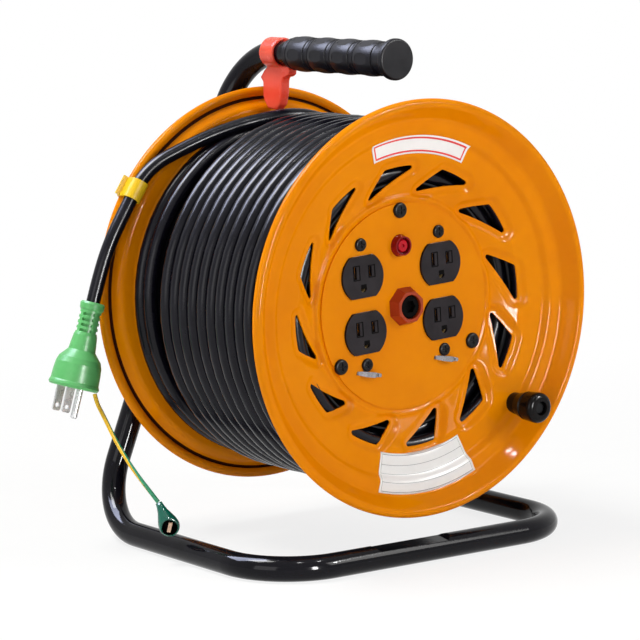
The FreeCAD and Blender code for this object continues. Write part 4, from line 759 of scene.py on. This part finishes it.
def new_group(name, result, **values):
    """A node group with a vector, named values and one result."""
    group = bpy.data.node_groups.new(name, "ShaderNodeTree")
    sockets = group.interface
    sockets.new_socket(name="Vector", in_out="INPUT", socket_type="NodeSocketVector")
    for label, value in values.items():
        made = sockets.new_socket(name=label, in_out="INPUT", socket_type="NodeSocketFloat")
        made.default_value = value
    sockets.new_socket(name=result, in_out="OUTPUT", socket_type="NodeSocketFloat")
    entry = group.nodes.new("NodeGroupInput").outputs
    leave = group.nodes.new("NodeGroupOutput").inputs[result]
    return group, entry, leave


def group_mottle():
    """Slow and fast colour variation over a surface, from 0 to 1."""
    group, entry, leave = new_group("surface_mottle", "Value", Scale=30.0, Contrast=0.5)
    slow = noise(group, entry["Vector"], entry["Scale"], 4.0)
    quick = noise(group, entry["Vector"], maths(group, "MULTIPLY", entry["Scale"], 7.0), 2.0)
    both = maths(group, "MULTIPLY_ADD", quick, 0.3, slow)
    share = graded(group, both, 0.45, 0.85).outputs["Result"]
    feed(group, leave, maths(group, "MULTIPLY", share, entry["Contrast"]))
    return group


def group_grain():
    """The height of a moulded or sprayed surface: fine grain over slow waves."""
    group, entry, leave = new_group("surface_grain", "Height", Scale=800.0, Waves=0.5)
    fine = noise(group, entry["Vector"], entry["Scale"], 3.0)
    wide = noise(group, entry["Vector"], maths(group, "MULTIPLY", entry["Scale"], 0.12), 1.0)
    feed(group, leave, maths(group, "MULTIPLY_ADD", wide, entry["Waves"], fine))
    return group


def group_dust():
    """A thin veil of dust where the surface faces up."""
    group, entry, leave = new_group("dust_veil", "Mask", Amount=0.1)
    shape = group.nodes.new("ShaderNodeNewGeometry")
    up = graded(group, axes(group, shape.outputs["Normal"])["Z"], 0.2, 1.0).outputs["Result"]
    specks = noise(group, entry["Vector"], 260.0, 4.0)
    grade = maths(group, "MULTIPLY", up, specks)
    feed(group, leave, maths(group, "MULTIPLY", grade, entry["Amount"]))
    return group


FINISH = {}
GROUPS = {"mottle": group_mottle(), "grain": group_grain(), "dust": group_dust()}
DUST = (0.5, 0.48, 0.45, 1.0)
RELIEF_HEIGHT = 0.0004


def use_group(tree, name, where, **values):
    """Place a shared node group in a material, with its own values; its result."""
    node = tree.nodes.new("ShaderNodeGroup")
    node.node_tree = GROUPS[name]
    tree.links.new(where, node.inputs["Vector"])
    for key, value in values.items():
        node.inputs[key].default_value = value
    return node.outputs[0]


def surface(name, light, dark, rough=(0.3, 0.4), metal=0.0, mottle=40.0, grain=900.0,
            waves=0.5, bump=0.02, dust=0.0, **sockets):
    """A material whose colour, roughness and relief vary over the surface."""
    material = bpy.data.materials.new(name)
    material.use_nodes = True
    tree = material.node_tree
    shader = tree.nodes["Principled BSDF"].inputs
    shader["Metallic"].default_value = metal
    for key, value in sockets.items():
        shader[key.replace("_", " ")].default_value = value
    where = tree.nodes.new("ShaderNodeTexCoord").outputs["Object"]
    patches = use_group(tree, "mottle", where, Scale=mottle, Contrast=1.0)
    colour = tinted(tree, patches, (*light, 1.0), (*dark, 1.0))
    if dust > 0.0:
        colour = tinted(tree, use_group(tree, "dust", where, Amount=dust), colour, DUST)
    feed(tree, shader["Base Color"], colour)
    feed(tree, shader["Roughness"], graded(tree, patches, 0.0, 1.0, *rough).outputs["Result"])
    raised = tree.nodes.new("ShaderNodeBump")
    raised.inputs["Strength"].default_value = bump
    raised.inputs["Distance"].default_value = RELIEF_HEIGHT
    feed(tree, raised.inputs["Height"],
         use_group(tree, "grain", where, Scale=grain, Waves=waves))
    feed(tree, shader["Normal"], raised.outputs["Normal"])
    return material


def overlay(material, mask, colour):
    """Lay a second colour over a material's own, by a mask."""
    tree = material.node_tree
    entry = tree.nodes["Principled BSDF"].inputs["Base Color"]
    feed(tree, entry, tinted(tree, mask, entry.links[0].from_socket, (*colour, 1.0)))


def striped(material, other, twist, share):
    """Lay a second colour along one side of a thin lead, in a slow twist."""
    tree = material.node_tree
    side = axes(tree, tree.nodes.new("ShaderNodeNewGeometry").outputs["Normal"])
    spot = axes(tree, tree.nodes.new("ShaderNodeTexCoord").outputs["Object"])
    turn = maths(tree, "MULTIPLY_ADD", spot["Z"], *twist)
    across = maths(tree, "MULTIPLY", maths(tree, "COSINE", turn), side["X"])
    along = maths(tree, "MULTIPLY", maths(tree, "SINE", turn), side["Y"])
    facing = maths(tree, "ADD", across, along)
    overlay(material, maths(tree, "GREATER_THAN", facing, share), other)
    return material


def label_material(name, border, paper, inset, line, stripes):
    """A printed film: plain paper, a ruled border and, on some, ruled lines."""
    material = surface(name, paper, [c * 0.93 for c in paper], rough=(0.28, 0.4), bump=0.01,
                       Specular_IOR_Level=0.4)
    tree = material.node_tree
    uv = tree.nodes.new("ShaderNodeUVMap")
    uv.uv_map = "UVMap"
    spot = axes(tree, uv.outputs["UV"])
    margins = []
    for axis in ("X", "Y"):
        off_middle = maths(tree, "ABSOLUTE", maths(tree, "SUBTRACT", spot[axis], 0.5))
        margins.append(maths(tree, "SUBTRACT", 0.5, off_middle))
    inside = []
    for edge in (0, 1):
        tests = [maths(tree, "GREATER_THAN", margin, start + width * edge)
                 for margin, start, width in zip(margins, inset, line)]
        inside.append(maths(tree, "MULTIPLY", *tests))
    mask = maths(tree, "SUBTRACT", *inside)
    for level in stripes:
        rule = maths(tree, "COMPARE", spot["Y"], level, line[1] * 0.35)
        mask = maths(tree, "MAXIMUM", mask, maths(tree, "MULTIPLY", rule, inside[1]))
    overlay(material, mask, border)
    return material


def make_materials():
    """Every material of the object, by a plain name."""
    made = {}
    made["enamel"] = surface(
        "orange_enamel", (0.80, 0.256, 0.0006), (0.74, 0.216, 0.0005), rough=(0.30, 0.36),
        mottle=14.0, grain=260.0, waves=1.6, bump=0.06, dust=0.0, Coat_Weight=0.13,
        Coat_Roughness=0.07, Specular_IOR_Level=0.0)
    # Painted shade: a near-black brown for the faces inside the rim's curl, where shade falls.
    made["curl_shade"] = surface(
        "painted_shade_in_the_curl", (0.030, 0.006, 0.0015), (0.045, 0.010, 0.002),
        rough=(0.6, 0.7), mottle=60.0, bump=0.03, Specular_IOR_Level=0.05)
    made["pipe"] = surface(
        "black_pipe_enamel", (0.003, 0.0028, 0.005), (0.005, 0.0045, 0.0075),
        rough=(0.07, 0.13), mottle=22.0, grain=300.0, waves=1.6, bump=0.09, dust=0.01,
        Specular_IOR_Level=0.16)
    made["steel"] = surface(
        "zinc_plate", (0.62, 0.61, 0.58), (0.5, 0.49, 0.47), rough=(0.28, 0.42), metal=1.0,
        mottle=90.0, grain=1600.0, bump=0.05)
    # Painted shade: the core tube is near-black so the drum's inside, seen through the vents, reads
    # dark.
    made["core"] = surface(
        "painted_shade_tube", (0.008, 0.008, 0.009), (0.014, 0.013, 0.013), rough=(0.5, 0.62),
        mottle=60.0, bump=0.04, Specular_IOR_Level=0.1)
    made["screw"] = surface(
        "blackened_steel", (0.004, 0.0045, 0.006), (0.008, 0.008, 0.009), rough=(0.25, 0.38),
        mottle=200.0, grain=1500.0, bump=0.05, Specular_IOR_Level=0.15)
    made["grip"] = surface(
        "grip_rubber", (0.004, 0.0038, 0.0065), (0.007, 0.0065, 0.010), rough=(0.32, 0.42),
        mottle=60.0, grain=2400.0, waves=0.3, bump=0.06, dust=0.01, Specular_IOR_Level=0.20)
    made["stopper"] = surface(
        "clear_red_plastic", (0.98, 0.105, 0.058), (0.94, 0.085, 0.046), rough=(0.2, 0.3),
        mottle=50.0, bump=0.02, Subsurface_Weight=0.6, Subsurface_Radius=(0.010, 0.003, 0.002),
        Subsurface_Scale=0.8, Specular_IOR_Level=0.25)
    made["clip"] = surface(
        "yellow_clip_plastic", (0.86, 0.56, 0.008), (0.80, 0.50, 0.008), rough=(0.3, 0.4),
        mottle=80.0, bump=0.03, Specular_IOR_Level=0.2)
    made["jacket"] = surface(
        "black_cable_jacket", (0.003, 0.0028, 0.0060), (0.005, 0.0045, 0.0085),
        rough=(0.20, 0.26), mottle=70.0, grain=1800.0, waves=0.8, bump=0.04, dust=0.0,
        Specular_IOR_Level=0.2)
    made["plug"] = surface(
        "green_plug_plastic", (0.125, 0.50, 0.155), (0.105, 0.44, 0.130), rough=(0.30, 0.40),
        mottle=60.0, grain=1500.0, bump=0.04, Specular_IOR_Level=0.3)
    made["nickel"] = surface(
        "bright_nickel", (0.74, 0.74, 0.75), (0.60, 0.60, 0.61), rough=(0.22, 0.34), metal=0.55,
        mottle=150.0, grain=1500.0, bump=0.03)
    made["copper"] = surface(
        "pale_copper", (0.72, 0.50, 0.36), (0.55, 0.36, 0.25), rough=(0.3, 0.42), metal=0.4,
        mottle=300.0, grain=1500.0, bump=0.05)
    made["lead"] = striped(surface(
        "green_and_yellow_lead", (0.85, 0.50, 0.012), (0.76, 0.44, 0.012), rough=(0.35, 0.45),
        mottle=120.0, bump=0.04, Specular_IOR_Level=0.3), (0.03, 0.27, 0.13), (38.0, -3.6), 0.15)
    # Painted shade: a near-black, unreflecting finish for the boot's inside, the lines round the
    # slots, the earth holes' tops, and the end screw and washer in the hub's bore.
    made["painted_shade"] = surface(
        "painted_shade_black", (0.002, 0.002, 0.002), (0.004, 0.003, 0.003), rough=(0.7, 0.8),
        bump=0.0, Specular_IOR_Level=0.02)
    made["saddle"] = surface(
        "dull_nickel", (0.36, 0.35, 0.36), (0.22, 0.21, 0.22), rough=(0.16, 0.3), metal=1.0,
        mottle=420.0, grain=1500.0, bump=0.08)
    made["boot"] = surface(
        "dark_green_boot", (0.005, 0.13, 0.085), (0.003, 0.09, 0.06), rough=(0.16, 0.26),
        mottle=70.0, bump=0.03, Coat_Weight=0.3, Specular_IOR_Level=0.3)
    made["hub"] = surface(
        "orange_red_hub", (0.38, 0.042, 0.008), (0.31, 0.032, 0.006), rough=(0.30, 0.40),
        mottle=90.0, grain=1500.0, bump=0.05, Specular_IOR_Level=0.2)
    made["bush"] = surface(
        "dull_black_plastic", (0.008, 0.008, 0.009), (0.014, 0.014, 0.015), rough=(0.5, 0.62),
        mottle=60.0, grain=1500.0, bump=0.08, Specular_IOR_Level=0.15)
    made["outlet"] = surface(
        "black_outlet_plastic", (0.011, 0.008, 0.010), (0.016, 0.012, 0.015), rough=(0.3, 0.42),
        mottle=90.0, grain=1800.0, bump=0.05, Specular_IOR_Level=0.15)
    made["knob"] = surface(
        "glossy_black_plastic", (0.004, 0.003, 0.0035), (0.006, 0.005, 0.005),
        rough=(0.10, 0.18), mottle=60.0, grain=900.0, bump=0.02, Specular_IOR_Level=0.12)
    made["brass"] = surface(
        "contact_brass", (0.78, 0.56, 0.24), (0.66, 0.46, 0.19), rough=(0.25, 0.38), metal=1.0,
        mottle=150.0, bump=0.04)
    made["lamp"] = surface(
        "lamp_bezel_plastic", (0.26, 0.005, 0.008), (0.20, 0.004, 0.006), rough=(0.18, 0.28),
        mottle=100.0, bump=0.03, Specular_IOR_Level=0.2)
    made["lens"] = surface(
        "lamp_red_lens", (0.50, 0.004, 0.014), (0.40, 0.003, 0.010), rough=(0.08, 0.14),
        mottle=100.0, bump=0.02, Specular_IOR_Level=0.2)
    made["terminal"] = surface(
        "white_block_plastic", (0.82, 0.81, 0.76), (0.76, 0.75, 0.7), rough=(0.4, 0.5), bump=0.04)
    made["red_label"] = label_material(
        "red_ruled_label", (0.75, 0.03, 0.03), (0.9, 0.88, 0.87), (0.02, 0.09), (0.014, 0.10), ())
    made["grey_label"] = label_material(
        "grey_ruled_label", (0.25, 0.25, 0.26), (0.82, 0.82, 0.81), (0.02, 0.04), (0.004, 0.018),
        (0.30, 0.52, 0.72))
    return made


FINISHES = {
    "enamel": ("front_flange", "rear_flange", "outlet_plate"),
    "pipe": ("frame_pipe_left", "frame_pipe_right", "axle_bracket"),
    "steel": ("pipe_joint_sleeve", "axle", "axle_washer", "axle_nut", "axle_spacer",
              "outlet_straps", "hub_lock_ring"),
    "core": ("drum_core_tube",),
    "screw": ("plate_screws", "outlet_screws", "crank_pin"),
    # Painted shade: the end screw and washer are near-black so the hub's bore reads as a dark hole.
    "painted_shade": ("end_screw", "end_washer"),
    "grip": ("handle_grip",),
    "stopper": ("stopper",),
    "clip": ("cord_clip",),
    "plug": ("plug_body",),
    "nickel": ("plug_blades", "plug_earth_pin"),
    "saddle": ("earth_saddles", "saddle_rivets"),
    "hub": ("hub_bush_front",),
    "bush": ("hub_bush_rear", "cable_entry_bush", "lamp_nut", "thermal_cutout"),
    "outlet": ("outlet_left", "outlet_right"),
    "knob": ("crank_knob", "crank_collar"),
    "brass": ("outlet_contacts",),
    "lamp": ("lamp_bezel",),
    "lens": ("lamp_lens",),
    "terminal": ("terminal_block",),
}


# Stage

def seen_rays(tree):
    """One for camera, glossy and transmission rays, and nought for all others."""
    path = tree.nodes.new("ShaderNodeLightPath").outputs
    seen = maths(tree, "MAXIMUM", path["Is Camera Ray"], path["Is Glossy Ray"])
    return maths(tree, "MAXIMUM", seen, path["Is Transmission Ray"])


def join_shaders(tree, share, own, other, leave):
    """Mix two shaders by the share of the second, and lead them to the output."""
    join = tree.nodes.new("ShaderNodeMixShader")
    for entry, value in zip(join.inputs, (share, own, other)):
        feed(tree, entry, value)
    feed(tree, leave, join.outputs[0])


def make_floor():
    """A pale floor that turns plain white for the camera away from the object."""
    bm = bmesh.new()
    bmesh.ops.create_grid(bm, x_segments=2, y_segments=2, size=30.0)
    floor = new_object("floor", bm)
    paint = surface("floor_paint", (0.90, 0.90, 0.90), (0.87, 0.87, 0.87), rough=(0.6, 0.7),
                    bump=0.0, Specular_IOR_Level=0.1)
    tree = paint.node_tree
    middle = tree.nodes.new("ShaderNodeVectorMath")
    middle.operation = "DISTANCE"
    feed(tree, middle.inputs[0], tree.nodes.new("ShaderNodeTexCoord").outputs["Object"])
    far = graded(tree, middle.outputs["Value"], 0.25, 0.95, 0.82, 1.0)
    far.interpolation_type = "SMOOTHSTEP"
    white = tree.nodes.new("ShaderNodeEmission")
    white.inputs["Color"].default_value = (1.0, 1.0, 1.0, 1.0)
    white.inputs["Strength"].default_value = 1.0
    join_shaders(tree, maths(tree, "MULTIPLY", far.outputs["Result"], seen_rays(tree)),
                 tree.nodes["Principled BSDF"].outputs["BSDF"], white.outputs[0],
                 tree.nodes["Material Output"].inputs["Surface"])
    dress(floor, paint)


def make_surround():
    """A surround that lights softly, and looks pale in the camera and in reflections."""
    world = bpy.data.worlds.new("surround")
    world.use_nodes = True
    bpy.context.scene.world = world
    tree = world.node_tree
    tree.nodes.clear()
    soft = tree.nodes.new("ShaderNodeBackground")
    soft.inputs["Color"].default_value = (0.97, 0.98, 1.0, 1.0)
    soft.inputs["Strength"].default_value = 0.20
    pale = tree.nodes.new("ShaderNodeBackground")
    pale.inputs["Color"].default_value = (0.8, 0.8, 0.8, 1.0)
    pale.inputs["Strength"].default_value = 1.0
    leave = tree.nodes.new("ShaderNodeOutputWorld")
    join_shaders(tree, seen_rays(tree), soft.outputs[0], pale.outputs[0],
                 leave.inputs["Surface"])


PLAIN = (1.0, 1.0, 1.0)
PALE_BLUE = (0.70, 0.75, 1.0)
# Each lamp's place, size in metres, power, colour, and whether it lights matt surfaces too.
LAMPS = {
    "key": ((-900.0, 500.0, 2000.0), (0.8, 0.8), 48.0, (1.0, 1.0, 0.96), True),
    "front": ((1000.0, -1500.0, 900.0), (0.9, 0.9), 19.5, (1.0, 0.99, 0.97), True),
    "left": ((-2100.0, -700.0, 400.0), (1.2, 1.2), 11.0, (1.0, 0.99, 1.0), True),
    "spot_one": ((1200.0, -1420.0, 1200.0), (0.11, 0.11), 15.0, PLAIN, False),
    "spot_two": ((980.0, -1620.0, 1150.0), (0.11, 0.11), 15.0, PLAIN, False),
    "spot_three": ((500.0, -1000.0, 2000.0), (0.09, 0.09), 7.0, PLAIN, False),
    "spot_four": ((-300.0, -900.0, 2100.0), (0.09, 0.09), 7.0, PLAIN, False),
    "strip": ((-200.0, -2100.0, 200.0), (0.25, 0.8), 70.0, PLAIN, False),
    "card": ((-820.0, 1050.0, 1750.0), (1.1, 1.4), 115.0, PALE_BLUE, False),
}


def make_lamps():
    """Soft lamps, all aimed at the drum's middle."""
    for name, (spot, size, power, colour, on_matt) in LAMPS.items():
        data = bpy.data.lights.new(name, "AREA")
        data.shape = "RECTANGLE"
        data.size, data.size_y = size
        data.energy = power
        data.color = colour
        lamp = new_object(name, data)
        lamp.visible_diffuse = on_matt
        where = place(*spot)
        way = (place(0.0, 90.0, 0.0) - where).to_track_quat("-Z", "Y")
        lamp.matrix_world = Matrix.Translation(where) @ way.to_matrix().to_4x4()


def main():
    """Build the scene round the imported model."""
    FINISH.update(make_materials())
    make_camera()
    make_free_cord()
    make_turns()
    make_flange("pressed_flange_front", FRONT_OPENING_R, False)
    make_flange("pressed_flange_rear", REAR_OPENING_R, True)
    make_core()
    make_slot_shadow_lines()
    make_stopper()
    make_grip_rings()
    make_label("upper_label", UPPER_LABEL, 48, 8, FINISH["red_label"])
    make_label("lower_label", LOWER_LABEL, 48, 16, FINISH["grey_label"])
    for finish, names in FINISHES.items():
        for name in names:
            dress(NODES[name], FINISH[finish])
    bpy.context.scene.view_settings.view_transform = "Standard"
    make_surround()
    make_floor()
    make_lamps()


main()
